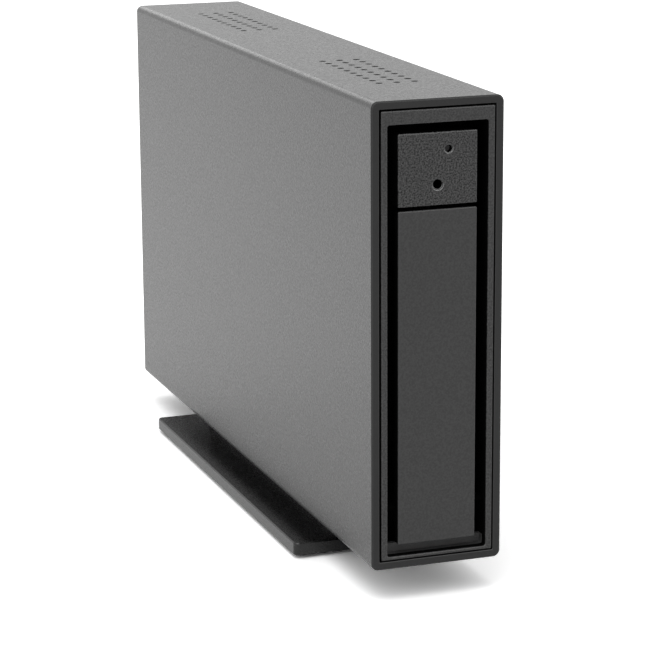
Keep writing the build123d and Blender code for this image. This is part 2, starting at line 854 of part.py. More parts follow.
def make_power_switch():
    """Rocker switch in the rear panel, tilted to its off position, with its terminals and leads."""
    body_back = panel_back + switch_flange_thickness
    with BuildPart() as body:
        block(
            behind(panel_back),
            (0, switch_height),
            (switch_body_width, switch_body_height),
            switch_body_length,
        )
        block(
            behind(body_back),
            (0, switch_height),
            (switch_flange_width, switch_flange_height),
            switch_flange_thickness,
        )
        flange_face = body.faces().sort_by(Axis.Y)[-1]
        chamfer(flange_face.edges(), length=switch_flange_chamfer)
        block(
            behind(body_back),
            (0, switch_height),
            (switch_cavity_width, switch_cavity_height),
            switch_cavity_depth,
            Mode.SUBTRACT,
        )
        with BuildSketch(rightward(rocker_width / 2 + rocker_pin_length + slide_gap)):
            with Locations((pivot_depth, switch_height)):
                Circle(rocker_pin_radius + pin_gap)
        extrude(amount=-(rocker_width + 2 * rocker_pin_length + 2 * slide_gap), mode=Mode.SUBTRACT)
    keep(body, "switch_body")

    side_plane = rightward(rocker_width / 2)
    pivot = side_plane.from_local_coords((pivot_depth, switch_height, 0))
    rocker_plane = Plane(origin=pivot, x_dir=(0, 1, 0), z_dir=(1, 0, 0)).rotated((-rocker_tilt, 0, 0))
    with BuildPart() as rocker:
        with BuildSketch(rocker_plane):
            with BuildLine():
                Polyline(
                    (-rocker_root, rocker_half_height / 2),
                    (0, rocker_half_height),
                    (rocker_crest, rocker_half_height),
                    (rocker_dip, 0),
                    (rocker_crest, -rocker_half_height),
                    (0, -rocker_half_height),
                    (-rocker_root, -rocker_half_height / 2),
                    close=True,
                )
            make_face()
        extrude(amount=-rocker_width)
        crests = rocker.edges().filter_by(Axis.X).sort_by(Axis.Y)[-2:]
        fillet(crests, radius=rocker_crest_radius)
        with BuildSketch(rightward(rocker_width / 2 + rocker_pin_length)):
            with Locations((pivot_depth, switch_height)):
                Circle(rocker_pin_radius)
        extrude(amount=-(rocker_width + 2 * rocker_pin_length))
    keep(rocker, "power_rocker")

    body_front = panel_back - switch_body_length
    with BuildPart() as terminals:
        for side in (-1, 1):
            block(
                facing(body_front - terminal_length),
                (0, switch_height + side * terminal_spacing / 2),
                (terminal_width, terminal_thickness),
                terminal_length,
            )
    keep(terminals, "switch_terminals")


def make_tray_front():
    """Moulded front of the tray: a thin frame around a deep well, with a sill across its floor."""
    back_wall = facing(well_depth)
    spring_points = [(i * button_spring_across, button_spring_height) for i in (-1, 1)]
    spring_points.append((0, handle_spring_height))
    leg_points = [(i * leg_across, button_middle) for i in (-1, 1)]
    with BuildPart() as front:
        with BuildSketch(facing(-bezel_proud)):
            with Locations((0, (bezel_high + bezel_low) / 2)):
                RectangleRounded(2 * bezel_half, bezel_high - bezel_low, opening_corner_radius)
        extrude(amount=-(bezel_proud + bezel_back))
        with BuildSketch(facing(-bezel_proud)):
            with Locations((0, (well_high + well_low) / 2)):
                RectangleRounded(2 * well_half, well_high - well_low, well_corner_radius)
        extrude(amount=-(bezel_proud + well_depth), mode=Mode.SUBTRACT)
        fillet(front.faces().sort_by(Axis.Y)[0].edges(), radius=bezel_edge_radius)
        sill = (2 * well_half, sill_height)
        block(facing(sill_depth), (0, well_low + sill_height / 2), sill, sill_thickness)
        with Locations(back_wall):
            with Locations(*tray_screw_points()):
                Cylinder(bezel_boss_radius, bezel_boss_length, align=STANDING)
            with Locations(*spring_points):
                Cylinder(coil_radius - coil_wire_radius - coil_post_gap, coil_post_length, align=STANDING)
        thread_length = well_back_wall + bezel_boss_length - bezel_side_band
        round_holes(behind(bezel_back), tray_screw_points(), screw_radius + thread_gap, thread_length)
        window = (leg_thickness + 2 * slide_gap, leg_width + 2 * slide_gap)
        for point in leg_points:
            block(back_wall, point, window, well_back_wall, Mode.SUBTRACT)
        round_holes(back_wall, [(lens_across, lens_height)], pipe_radius + thread_gap, well_back_wall)
        round_holes(back_wall, [(0, pin_hole_height)], pin_hole_radius + screw_hole_gap, well_back_wall)
        round_holes(back_wall, [(0, catch_screw_height)], screw_radius + thread_gap, well_back_wall)
        hinge = [(hinge_depth, hinge_height)]
        round_holes(rightward(bezel_half), hinge, hinge_pin_radius + thread_gap, 2 * bezel_half)
    keep(front, "tray_front")


def make_tray_channel():
    """Folded metal channel behind the tray's front: open to the right, with a flange to the front."""
    height = tray_high - tray_low
    with BuildPart() as channel:
        with BuildSketch(facing(bezel_back)):
            with Locations((0, opening_middle)):
                Rectangle(2 * tray_half, height)
            with Locations((channel_sheet, opening_middle)):
                Rectangle(2 * tray_half, height - 2 * channel_sheet, mode=Mode.SUBTRACT)
        extrude(amount=-channel_length)
        block(facing(bezel_back), (0, opening_middle), (2 * tray_half, height), channel_sheet)
        folds = channel.edges().filter_by(Axis.Y).group_by(Axis.X)[0]
        fillet(folds, radius=channel_sheet)
        top_window = (0, (front_window_low + front_window_high) / 2)
        top_size = (2 * front_window_half, front_window_high - front_window_low)
        block(facing(bezel_back), top_window, top_size, channel_sheet, Mode.SUBTRACT)
        round_holes(
            facing(bezel_back), tray_screw_points(), screw_radius + screw_hole_gap, channel_sheet
        )
        middle_depth = (adapter_front + adapter_back) / 2
        for side in (-1, 1):
            depth = middle_depth + side * channel_window_pitch / 2
            size = (channel_window_length, channel_window_height)
            block(rightward(web_inner), (depth, opening_middle), size, channel_sheet, Mode.SUBTRACT)
            vent = (channel_vent_width, channel_window_length)
            block(level(tray_high), (0, depth), vent, height, Mode.SUBTRACT)
        round_holes(
            rightward(web_inner), adapter_screw_points(), screw_radius + screw_hole_gap, channel_sheet
        )
    keep(channel, "tray_channel")
    bite = channel_sheet + well_back_wall + bezel_boss_length - 2 * bezel_side_band
    pan_screws("tray_screws", behind(bezel_back + channel_sheet), turned(tray_screw_points()), bite)


def make_drive_adapter():
    """Moulded adapter plate with a rim, four bosses for the drive and a clip for the light pipe."""
    face = web_inner + adapter_thickness
    middle_depth = (adapter_front + adapter_back) / 2
    length = adapter_back - adapter_front
    boss_height = drive_low_x - face
    with BuildPart() as adapter:
        block(rightward(face), (middle_depth, opening_middle), (length, adapter_height), adapter_thickness)
        with BuildSketch(rightward(face)):
            with Locations((middle_depth, opening_middle)):
                Rectangle(length, adapter_height)
                Rectangle(length - 2 * adapter_rim, adapter_height - 2 * adapter_rim, mode=Mode.SUBTRACT)
        extrude(amount=adapter_rim_height)
        for side in (-1, 1):
            depth = middle_depth + side * channel_window_pitch / 2
            size = (adapter_window_length, adapter_window_height)
            block(rightward(face), (depth, opening_middle), size, adapter_thickness, Mode.SUBTRACT)
        with Locations(rightward(face)):
            with Locations(*drive_screw_points()):
                Cylinder(adapter_boss_radius, boss_height, align=STANDING)
        sunk_holes(leftward(web_inner), turned(drive_screw_points()), boss_height + adapter_thickness)
        round_holes(rightward(face), adapter_screw_points(), screw_radius + thread_gap, adapter_thickness)
        clip_end = lens_across + pipe_radius + pipe_clip_wall
        clip_middle = ((clip_end + face) / 2, lens_height)
        clip_size = (clip_end - face, 2 * (pipe_radius + pipe_clip_wall))
        clip_face = facing(adapter_back - pipe_clip_depth)
        block(clip_face, clip_middle, clip_size, pipe_clip_depth)
        round_holes(clip_face, [(lens_across, lens_height)], pipe_radius + thread_gap, pipe_clip_depth)
    keep(adapter, "drive_adapter")
    bite = channel_sheet + adapter_thickness
    pan_screws("adapter_screws", leftward(-tray_half), turned(adapter_screw_points()), bite)
    bite = boss_height + adapter_thickness + drive_screw_bite
    flat_screws("drive_screws", leftward(web_inner), turned(drive_screw_points()), bite)


def make_drive():
    """Solid state drive: a shallow case and its cover, with the memory board and its plug inside."""
    middle = (drive_middle_depth, opening_middle)
    case_height = drive_thickness - drive_cover_thickness
    with BuildPart() as case:
        with BuildSketch(rightward(drive_low_x)):
            with Locations(middle):
                RectangleRounded(drive_length, drive_height, drive_corner_radius)
        extrude(amount=case_height)
        with BuildSketch(rightward(drive_low_x + drive_wall)):
            with Locations(middle):
                RectangleRounded(
                    drive_length - 2 * drive_wall,
                    drive_height - 2 * drive_wall,
                    drive_corner_radius - drive_wall,
                )
        extrude(amount=case_height, mode=Mode.SUBTRACT)
        with Locations(rightward(drive_low_x)):
            with Locations(*drive_screw_points()):
                Cylinder(drive_boss_radius, drive_boss_height, align=STANDING)
        round_holes(
            leftward(drive_low_x), turned(drive_screw_points()), screw_radius + thread_gap, drive_boss_height
        )
        notch = (case_height - drive_wall, socket_nose_height + 2 * plug_opening_gap)
        block(behind(drive_back_depth), (-plug_x, plug_middle), notch, drive_wall, Mode.SUBTRACT)
    keep(case, "drive_case")

    with BuildPart() as cover:
        with BuildSketch(rightward(drive_high_x)):
            with Locations(middle):
                RectangleRounded(drive_length, drive_height, drive_corner_radius)
        extrude(amount=-drive_cover_thickness)
        outer = cover.faces().sort_by(Axis.X)[-1]
        chamfer(outer.edges(), length=drive_cover_chamfer)
    keep(cover, "drive_cover")

    board_front = drive_front_depth + drive_wall + drive_board_margin
    board_back = drive_back_depth - plug_inset - plug_block_length
    board_face = drive_board_x + drive_board_thickness
    with BuildPart() as board:
        size = (board_back - board_front, drive_height - 2 * (drive_wall + drive_board_margin))
        place = ((board_front + board_back) / 2, opening_middle)
        block(rightward(board_face), place, size, drive_board_thickness)
    keep(board, "drive_board")

    chip_pitch = memory_chip_length + memory_chip_gap
    chips_depth = board_front + memory_chip_gap + memory_chip_columns * chip_pitch / 2
    with BuildPart() as chips:
        with BuildSketch(rightward(board_face)):
            with Locations((chips_depth, opening_middle)):
                with GridLocations(
                    chip_pitch, memory_chip_height + memory_chip_gap, memory_chip_columns, memory_chip_rows
                ):
                    Rectangle(memory_chip_length, memory_chip_height)
        extrude(amount=memory_chip_thickness)
    keep(chips, "memory_chips")

    with BuildPart() as controller:
        place = (board_back - memory_chip_gap - controller_size / 2, opening_middle)
        size = (controller_size, controller_size)
        block(rightward(board_face + controller_thickness), place, size, controller_thickness)
    keep(controller, "drive_controller")

    with BuildPart() as plug:
        size = (plug_block_thickness, plug_block_height)
        block(facing(board_back), (plug_x, plug_middle), size, plug_block_length)
        blade_length = plug_inset - blade_tip_inset
        for blade_middle, blade_height in (
            (power_blade_middle, power_blade_height),
            (signal_blade_middle, signal_blade_height),
        ):
            blade = (blade_thickness, blade_height)
            block(facing(board_back + plug_block_length), (plug_x, blade_middle), blade, blade_length)
    keep(plug, "drive_plug")


def make_light_pipe():
    """Clear rod from in front of the backplane's indicator to just behind the button's lens."""
    front = lens_recess + lens_length + button_travel + slide_gap
    back = backplane_depth - indicator_thickness - pipe_end_gap
    with BuildPart(facing(front)) as pipe:
        with Locations((lens_across, lens_height)):
            Cylinder(pipe_radius, back - front, align=HANGING)
    keep(pipe, "light_pipe")


def make_springs():
    """Coil springs: two that push the button out and one that kicks the handle open."""
    with BuildPart() as pair:
        for side in (-1, 1):
            coil_spring(
                side * button_spring_across, button_spring_height, button_face + slide_gap, well_depth
            )
    keep(pair, "button_springs")
    with BuildPart() as kicker:
        coil_spring(0, handle_spring_height, handle_thickness + slide_gap, well_depth)
    keep(kicker, "handle_spring")


def make_catch():
    """Spring catch on the well's back wall: a foot, an arm with a hook, and a bar that the button lifts."""
    foot_face = well_depth - catch_thickness
    with BuildPart() as catch:
        foot_middle = (0, catch_low + catch_foot_height / 2)
        block(facing(foot_face), foot_middle, (catch_foot_width, catch_foot_height), catch_thickness)
        arm_middle = (0, catch_low + catch_thickness / 2)
        arm = (catch_width, catch_thickness)
        block(facing(catch_front), arm_middle, arm, well_depth - catch_front)
        bar = (catch_bar_length, catch_thickness)
        block(facing(catch_front), arm_middle, bar, catch_bar_width)
        hook_middle = (0, catch_low + catch_thickness - catch_hook_drop / 2)
        hook = (catch_width, catch_hook_drop)
        block(facing(catch_hook_face - catch_thickness), hook_middle, hook, catch_thickness)
        hole = screw_radius + screw_hole_gap
        round_holes(facing(foot_face), [(0, catch_screw_height)], hole, catch_thickness)
    keep(catch, "spring_catch")
    pan_screws("catch_screw", facing(foot_face), [(0, catch_screw_height)], catch_thickness + well_back_wall)


def make_button():
    """Release button: a hollow cap with two snap legs and two prongs that lift the catch."""
    outline = (panel_width, button_height)
    inner = (panel_width - 2 * button_skirt, button_height - 2 * button_skirt)
    leg_end = bezel_back + slide_gap + leg_hook_length
    with BuildPart() as button:
        with BuildSketch(facing(0)):
            with Locations((0, button_middle)):
                RectangleRounded(outline[0], outline[1], button_corner_radius)
        extrude(amount=-button_length)
        fillet(button.faces().sort_by(Axis.Y)[0].edges(), radius=button_edge_radius)
        block(facing(button_face), (0, button_middle), inner, button_length - button_face, Mode.SUBTRACT)
        lens_back = lens_recess + lens_length
        with Locations(facing(lens_back)):
            with Locations((lens_across, lens_height)):
                Cylinder(lens_hole_radius + button_skirt, lens_back - button_face, align=STANDING)
        round_holes(facing(0), [(lens_across, lens_height)], lens_hole_radius, lens_back)
        round_holes(facing(0), [(0, pin_hole_height)], pin_hole_radius, button_face)
        rims = button.faces().sort_by(Axis.Y)[0].inner_wires()
        chamfer(rims.sort_by(Axis.Z)[0].edges(), length=pin_hole_chamfer)
        chamfer(rims.sort_by(Axis.Z)[-1].edges(), length=lens_hole_chamfer)
        for side in (-1, 1):
            leg = (leg_thickness, leg_width)
            block(facing(button_face), (side * leg_across, button_middle), leg, leg_end - button_face)
            hook_middle = (side * (leg_across + (leg_thickness + leg_hook) / 2), button_middle)
            hook = (leg_hook, leg_width)
            block(facing(leg_end - leg_hook_length), hook_middle, hook, leg_hook_length)
            prong_back = prong_front + prong_leg
            toe_top = prong_low + prong_toe_height
            with BuildSketch(rightward(side * prong_across + prong_thickness / 2)):
                with BuildLine():
                    Polyline(
                        (prong_front, button_low + button_skirt),
                        (prong_front, prong_low),
                        (prong_tip, prong_low),
                        (prong_tip, toe_top),
                        (prong_back, toe_top + prong_tip - prong_back),
                        (prong_back, button_low + button_skirt),
                        close=True,
                    )
                make_face()
            extrude(amount=-prong_thickness)
    keep(button, "release_button")

    with BuildPart(facing(lens_recess)) as lens:
        with Locations((lens_across, lens_height)):
            Cylinder(lens_hole_radius - thread_gap, lens_length, align=HANGING)
    keep(lens, "indicator_lens")


def make_handle():
    """Pull handle: a flat plate with two ribs, hinge ears at its foot and a barbed keeper at its top."""
    handle_height = handle_high - handle_low
    with BuildPart() as handle:
        with BuildSketch(facing(0)):
            with Locations((0, (handle_high + handle_low) / 2)):
                RectangleRounded(panel_width, handle_height, handle_corner_radius)
        extrude(amount=-handle_thickness)
        fillet(handle.faces().sort_by(Axis.Y)[0].edges(), radius=handle_edge_radius)
        rib_middle_height = (handle_rib_high + handle_rib_low) / 2
        rib = (handle_rib_thickness, handle_rib_high - handle_rib_low)
        for side in (-1, 1):
            across = side * (panel_width / 2 - handle_rib_inset - handle_rib_thickness / 2)
            block(facing(handle_thickness), (across, rib_middle_height), rib, handle_rib_depth)
            ear_outside = side * panel_width / 2
            ear_right = max(ear_outside, ear_outside - side * hinge_ear_thickness)
            with BuildSketch(rightward(ear_right)):
                with Locations((hinge_depth, hinge_height)):
                    Circle(hinge_ear_radius)
                    Rectangle(2 * (hinge_depth - handle_edge_radius), 2 * hinge_ear_radius)
            extrude(amount=-hinge_ear_thickness)
        round_holes(
            rightward(panel_width / 2), [(hinge_depth, hinge_height)], hinge_pin_radius + pin_gap, panel_width
        )
        arm_middle = (0, keeper_low + keeper_arm_height / 2)
        block(facing(handle_thickness), arm_middle, (keeper_width, keeper_arm_height), keeper_reach)
        barb_front = handle_thickness + keeper_reach - keeper_barb
        barb_middle = (0, keeper_low + (keeper_arm_height + keeper_barb) / 2)
        block(facing(barb_front), barb_middle, (keeper_width, keeper_arm_height + keeper_barb), keeper_barb)
    keep(handle, "pull_handle")

    with BuildPart(rightward(bezel_half - pin_gap)) as pin:
        with Locations((hinge_depth, hinge_height)):
            Cylinder(hinge_pin_radius, 2 * (bezel_half - pin_gap), align=HANGING)
    keep(pin, "hinge_pin")


def make_switch_leads():
    """Two leads from the switch's terminals down to the main board."""
    start_depth = panel_back - switch_body_length - terminal_length
    with BuildPart() as leads:
        for side in (-1, 1):
            top = switch_height + side * terminal_spacing / 2
            depth = start_depth - lead_first_run
            across = side * lead_across
            foot = lead_foot_height - side * lead_foot_spacing / 2
            with BuildLine(rightward(0)) as route:
                FilletPolyline(
                    (start_depth, top, across),
                    (depth, top, across),
                    (depth, foot, across),
                    (depth, foot, main_board_face),
                    radius=lead_bend_radius,
                )
            with BuildSketch(Plane(origin=route.line @ 0, z_dir=route.line % 0)) as wire:
                Circle(lead_radius)
            sweep(wire.sketch, path=route.line)
    keep(leads, "switch_leads")


os.makedirs("parts", exist_ok=True)
make_sleeve()
make_stand()
make_guide_rails()
make_rear_panel()
make_board_bracket()
make_backplane()
make_main_board()
make_ports()
make_power_switch()
make_tray_front()
make_tray_channel()
make_drive_adapter()
make_drive()
make_light_pipe()
make_springs()
make_catch()
make_button()
make_handle()
make_switch_leads()
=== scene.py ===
import logging
import math
from dataclasses import dataclass
from enum import Enum, IntEnum
from typing import ClassVar

import bmesh
import bpy
from mathutils import Euler, Matrix, Vector
from mathutils.bvhtree import BVHTree


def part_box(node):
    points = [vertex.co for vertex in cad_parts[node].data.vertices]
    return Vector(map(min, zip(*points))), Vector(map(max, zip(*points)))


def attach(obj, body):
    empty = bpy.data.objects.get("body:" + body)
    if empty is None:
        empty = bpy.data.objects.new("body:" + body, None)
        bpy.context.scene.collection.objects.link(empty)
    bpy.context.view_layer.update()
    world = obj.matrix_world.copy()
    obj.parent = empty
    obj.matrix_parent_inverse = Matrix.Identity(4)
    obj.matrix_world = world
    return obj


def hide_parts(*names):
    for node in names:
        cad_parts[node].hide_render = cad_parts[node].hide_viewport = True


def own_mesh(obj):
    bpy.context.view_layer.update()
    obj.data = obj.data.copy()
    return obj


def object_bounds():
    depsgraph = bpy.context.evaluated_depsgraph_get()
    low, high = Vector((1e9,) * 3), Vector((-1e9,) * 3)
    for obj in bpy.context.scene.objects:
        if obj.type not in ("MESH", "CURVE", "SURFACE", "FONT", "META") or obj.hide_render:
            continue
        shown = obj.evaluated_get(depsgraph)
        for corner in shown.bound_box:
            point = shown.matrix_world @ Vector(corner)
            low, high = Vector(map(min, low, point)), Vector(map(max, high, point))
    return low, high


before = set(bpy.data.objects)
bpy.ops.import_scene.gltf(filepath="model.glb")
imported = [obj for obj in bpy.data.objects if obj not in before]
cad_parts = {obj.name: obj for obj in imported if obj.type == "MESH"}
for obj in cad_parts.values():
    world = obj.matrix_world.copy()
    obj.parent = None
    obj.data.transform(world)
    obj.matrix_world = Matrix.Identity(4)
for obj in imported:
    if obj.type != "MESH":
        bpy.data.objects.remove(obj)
cad_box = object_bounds()

log = logging.getLogger("desktop_drive")

Socket = bpy.types.NodeSocket
Colour = tuple[float, float, float, float]

MM = 0.001
MERGE = 0.001 * MM
MICRON_PLACES = 6
FLAT_HEAD = 1.3 * MM


class Body(str, Enum):
    """The bodies that pieces ride on."""

    HOUSING = "housing"
    TRAY = "tray"
    BUTTON = "button"
    HANDLE = "handle"
    ROCKER = "rocker"


class Axis(IntEnum):
    """The three coordinates, by their place in a vector."""

    X = 0
    Y = 1
    Z = 2


class Side(Enum):
    """The way that a face or a screw head looks, as a unit vector."""

    LEFT = (-1.0, 0.0, 0.0)
    RIGHT = (1.0, 0.0, 0.0)
    FRONT = (0.0, -1.0, 0.0)
    BACK = (0.0, 1.0, 0.0)
    DOWN = (0.0, 0.0, -1.0)
    UP = (0.0, 0.0, 1.0)

    @property
    def vector(self) -> Vector:
        """The direction as a vector."""
        return Vector(self.value)


class Head(Enum):
    """The two kinds of screw head on the drive."""

    FLAT = "flat"
    PAN = "pan"


class Value:
    """A value that a node tree works out, with the usual signs of arithmetic.

    For masks from 0 to 1, & keeps where both are 1, | where either is, and ~ turns one round.
    """

    def __init__(self, tree: "NodeTree", socket: Socket) -> None:
        """Wrap one of a tree's output sockets."""
        self.tree = tree
        self.socket = socket

    def __add__(self, other: object) -> "Value":
        """This value and another."""
        return self.tree.math("ADD", self, other)

    def __sub__(self, other: object) -> "Value":
        """This value less another."""
        return self.tree.math("SUBTRACT", self, other)

    def __rsub__(self, other: object) -> "Value":
        """Another value less this one."""
        return self.tree.math("SUBTRACT", other, self)

    def __mul__(self, other: object) -> "Value":
        """This value times another."""
        return self.tree.math("MULTIPLY", self, other)

    def __truediv__(self, other: object) -> "Value":
        """This value over another."""
        return self.tree.math("DIVIDE", self, other)

    def __pow__(self, other: object) -> "Value":
        """This value to a power."""
        return self.tree.math("POWER", self, other)

    def __abs__(self) -> "Value":
        """This value without its sign."""
        return self.tree.math("ABSOLUTE", self)

    def __lt__(self, other: object) -> "Value":
        """1 where this value is under another, and else 0."""
        return self.tree.math("LESS_THAN", self, other)

    def __gt__(self, other: object) -> "Value":
        """1 where this value is over another, and else 0."""
        return self.tree.math("GREATER_THAN", self, other)

    def __and__(self, other: object) -> "Value":
        """The lower of two values."""
        return self.tree.math("MINIMUM", self, other)

    def __or__(self, other: object) -> "Value":
        """The higher of two values."""
        return self.tree.math("MAXIMUM", self, other)

    def __invert__(self) -> "Value":
        """What this value leaves of 1."""
        return 1.0 - self


class NodeTree:
    """Short ways to add and join nodes, shared by the finishes and the geometry trees."""

    def __init__(self, tree: bpy.types.NodeTree) -> None:
        """Wrap the shader or geometry tree that nodes are added to."""
        self.tree = tree

    def add(self, kind: str, inputs: dict | None = None, **settings: object) -> bpy.types.Node:
        """Add one node.

        Args:
            kind: The node's type name.
            inputs: Values or sockets for its inputs, by the input's name or number.
            **settings: The node's own properties.

        Returns:
            The new node.
        """
        node = self.tree.nodes.new(kind)
        for name, value in settings.items():
            setattr(node, name, value)
        for name, value in (inputs or {}).items():
            self.give(node.inputs[name], value)
        return node

    def take(self, kind: str, inputs: dict | None = None, output: object = 0, **settings: object) -> Value:
        """Add one node and take a value from it.

        Args:
            kind: The node's type name.
            inputs: Values or sockets for its inputs, by the input's name or number.
            output: The name or number of the output that is taken.
            **settings: The node's own properties.

        Returns:
            The value.
        """
        return Value(self, self.add(kind, inputs, **settings).outputs[output])

    def give(self, socket: Socket, value: object) -> None:
        """Join a socket to another, or write its value.

        Args:
            socket: The input socket.
            value: A value of the tree, an output socket, a list of such, or a plain value.
        """
        for source in value if isinstance(value, list) else [value]:
            plug = source.socket if isinstance(source, Value) else source
            if isinstance(plug, Socket):
                self.tree.links.new(plug, socket)
            else:
                socket.default_value = plug

    def math(self, operation: str, *values: object) -> Value:
        """Add a math node, by its operation's name and its values in order."""
        return self.take("ShaderNodeMath", dict(enumerate(values)), operation=operation)

    def ramp(self, value: object, ends: tuple, results: tuple = (0.0, 1.0)) -> Value:
        """Map the stretch between two values on the stretch between two results.

        Args:
            value: What is mapped.
            ends: The two values, past which it stays the same.
            results: What they become.

        Returns:
            The mapped value.
        """
        inputs = {"Value": value, "From Min": ends[0], "From Max": ends[1]}
        inputs.update({"To Min": results[0], "To Max": results[1]})
        return self.take("ShaderNodeMapRange", inputs)

    def coordinates(self, vector: object) -> list[Value]:
        """The three coordinates of a vector."""
        return [Value(self, part) for part in self.add("ShaderNodeSeparateXYZ", {0: vector}).outputs]


class ShaderTree(NodeTree):
    """A material's nodes, around one Principled shader."""

    NOISE_MIDDLE = 0.5
    NOISE_REACH = 0.13
    EDGE_SAMPLES = 4

    def __init__(self, name: str) -> None:
        """Start a material.

        Args:
            name: The material's name.
        """
        self.material = bpy.data.materials.new(name)
        self.material.use_nodes = True
        super().__init__(self.material.node_tree)
        self.shader = self.tree.nodes["Principled BSDF"]
        self.place = self.add("ShaderNodeTexCoord").outputs["Object"]

    def plain(self, **values: float) -> None:
        """Write constants on the shader's own sockets, by their names with low lines for spaces."""
        for name, value in values.items():
            self.shader.inputs[name.replace("_", " ")].default_value = value

    def paint(self, colour: Colour, factor: Value) -> None:
        """Paint the shader.

        Args:
            colour: The colour.
            factor: What it is multiplied by.
        """
        scaled = self.add("ShaderNodeVectorMath", {0: colour[:3], "Scale": factor}, operation="SCALE")
        self.give(self.shader.inputs["Base Color"], scaled.outputs[0])

    def polish(self, roughness: Value) -> None:
        """Give the shader a roughness that varies."""
        self.give(self.shader.inputs["Roughness"], roughness)

    def bump(self, height: Value, depth: float, edge: float = 0.0) -> None:
        """Give the shader a relief, and soften its sharp edges.

        Args:
            height: The relief, from 0 to 1.
            depth: The relief's depth in metres.
            edge: The radius of a softened edge in metres, or 0 for none.
        """
        values = {"Height": height, "Distance": depth}
        if edge > 0:
            values["Normal"] = self.take("ShaderNodeBevel", {"Radius": edge}, samples=self.EDGE_SAMPLES)
        self.give(self.shader.inputs["Normal"], self.take("ShaderNodeBump", values))

    def noise(self, size: float, layers: float = 2.0, stretch: tuple | None = None) -> Value:
        """Noise whose grains are about one size across.

        Args:
            size: The grain's size in metres.
            layers: How many finer layers it has.
            stretch: Scales along the three axes, where the grain is drawn out.

        Returns:
            The noise, round a half.
        """
        place = self.place
        if stretch is not None:
            place = self.take("ShaderNodeMapping", {"Vector": place, "Scale": stretch})
        inputs = {"Vector": place, "Scale": 1 / size, "Detail": layers}
        return self.take("ShaderNodeTexNoise", inputs, "Fac")

    def spread(self, noise: Value, low: float, high: float) -> Value:
        """Spread the middle of a noise over a range.

        Args:
            noise: The noise.
            low: What its dark grains become.
            high: What its pale grains become.

        Returns:
            The spread value.
        """
        ends = (self.NOISE_MIDDLE - self.NOISE_REACH, self.NOISE_MIDDLE + self.NOISE_REACH)
        return self.ramp(noise, ends, (low, high))

    def blend(self, factor: Value, first: object, second: object) -> Value:
        """Mix two colours.

        Args:
            factor: 0 for the first, 1 for the second.
            first: A colour or socket.
            second: A colour or socket.

        Returns:
            The mixed colour.
        """
        # The node has its sockets once for each kind of data, and by number these are the ones for colours.
        values = {"Factor": factor, 6: first, 7: second}
        return self.take("ShaderNodeMix", values, 2, data_type="RGBA")

    def past(self, axis: Axis, limit: float, fade: float) -> Value:
        """Mask that rises from 0 to 1 as a coordinate passes a limit.

        Args:
            axis: Which coordinate.
            limit: Where the rise is half done, in metres.
            fade: How far the rise takes, in metres.

        Returns:
            The mask.
        """
        return self.ramp(self.coordinates(self.place)[axis], (limit - fade / 2, limit + fade / 2))

    def between(self, axis: Axis, low: float, high: float, fade: float) -> Value:
        """Mask that is 1 where a coordinate lies between two limits.

        Args:
            axis: Which coordinate.
            low: The lower limit in metres.
            high: The upper limit in metres.
            fade: How far the rise and the fall take, in metres.

        Returns:
            The mask.
        """
        return self.past(axis, low, fade) & ~self.past(axis, high, fade)

    def within(self, low: Vector, high: Vector, fade: float) -> Value:
        """Mask that is 1 in a box.

        Args:
            low: The box's lowest corner.
            high: Its highest corner.
            fade: How far the mask's edges take, in metres.

        Returns:
            The mask.
        """
        across, along, upright = (self.between(axis, low[axis], high[axis], fade) for axis in Axis)
        return across & upright & along

    def recolour(self, mask: Value, colour: Colour, roughness: float) -> None:
        """Lay another colour and roughness over the finish where a mask is 1.

        Args:
            mask: The mask.
            colour: The colour there.
            roughness: The roughness there.
        """
        base, rough = self.shader.inputs["Base Color"], self.shader.inputs["Roughness"]
        self.give(base, self.blend(mask, base.links[0].from_socket, colour))
        self.polish(self.ramp(mask, (0.0, 1.0), (rough.links[0].from_socket, roughness)))


def shown_rays(tree: NodeTree) -> Value:
    """Mask of the rays that show the background: to the eye, in gloss and through clear plastic.

    Args:
        tree: The tree that needs it.

    Returns:
        The mask.
    """
    rays = tree.add("ShaderNodeLightPath")
    kinds = ("Is Camera Ray", "Is Glossy Ray", "Is Transmission Ray")
    eye, gloss, through = (Value(tree, rays.outputs[kind]) for kind in kinds)
    return eye | gloss | through


def grey(level: float) -> Colour:
    """Linear grey from a screen level, by the usual curve of a screen.

    Args:
        level: The level on a screen, from 0 to 255.

    Returns:
        The colour with its alpha.
    """
    screen = level / 255
    value = screen / 12.92 if screen < 0.04045 else ((screen + 0.055) / 1.055) ** 2.4
    return (value, value, value, 1.0)


@dataclass(frozen=True)
class EdgeHighlight:
    """Painted highlight along edges, palest where they face up towards the overhead lamp.

    Attributes:
        colour: Linear colour of the painted highlight.
        reach: How far from the edge the painted highlight goes, in metres.
        roughness: Their roughness.
        sharpness: Cosines between a face and its softened edge where the painted highlight starts and is
            whole.
        upward: How far up an edge faces where the painted highlight starts and is whole.
        underside_share: How much of the painted highlight shows on edges that face down, as a share.
        samples: Rays that feel for an edge at each point.
    """

    colour: Colour
    reach: float = 0.4 * MM
    roughness: float = 0.4
    sharpness: tuple[float, float] = (0.995, 0.9)
    upward: tuple[float, float] = (-0.1, 0.35)
    underside_share: float = 0.1
    samples: int = 8

    def brighten_edges(self, tree: ShaderTree) -> None:
        """Paint a highlight on the edges of a finish: paler and smoother, brightest where they face up.

        Args:
            tree: The finish's tree.
        """
        soft = tree.take("ShaderNodeBevel", {"Radius": self.reach}, samples=self.samples)
        flat = tree.take("ShaderNodeNewGeometry", output="Normal")
        cosine = tree.take("ShaderNodeVectorMath", {0: soft, 1: flat}, "Value", operation="DOT_PRODUCT")
        # painted highlight: edges are painted paler where the softened normal leaves the face, and more where
        # they face up
        edge_mask = tree.ramp(cosine, self.sharpness)
        lit_from_above = tree.ramp(tree.coordinates(soft)[Axis.Z], self.upward, (self.underside_share, 1.0))
        tree.recolour(edge_mask * lit_from_above, self.colour, self.roughness)


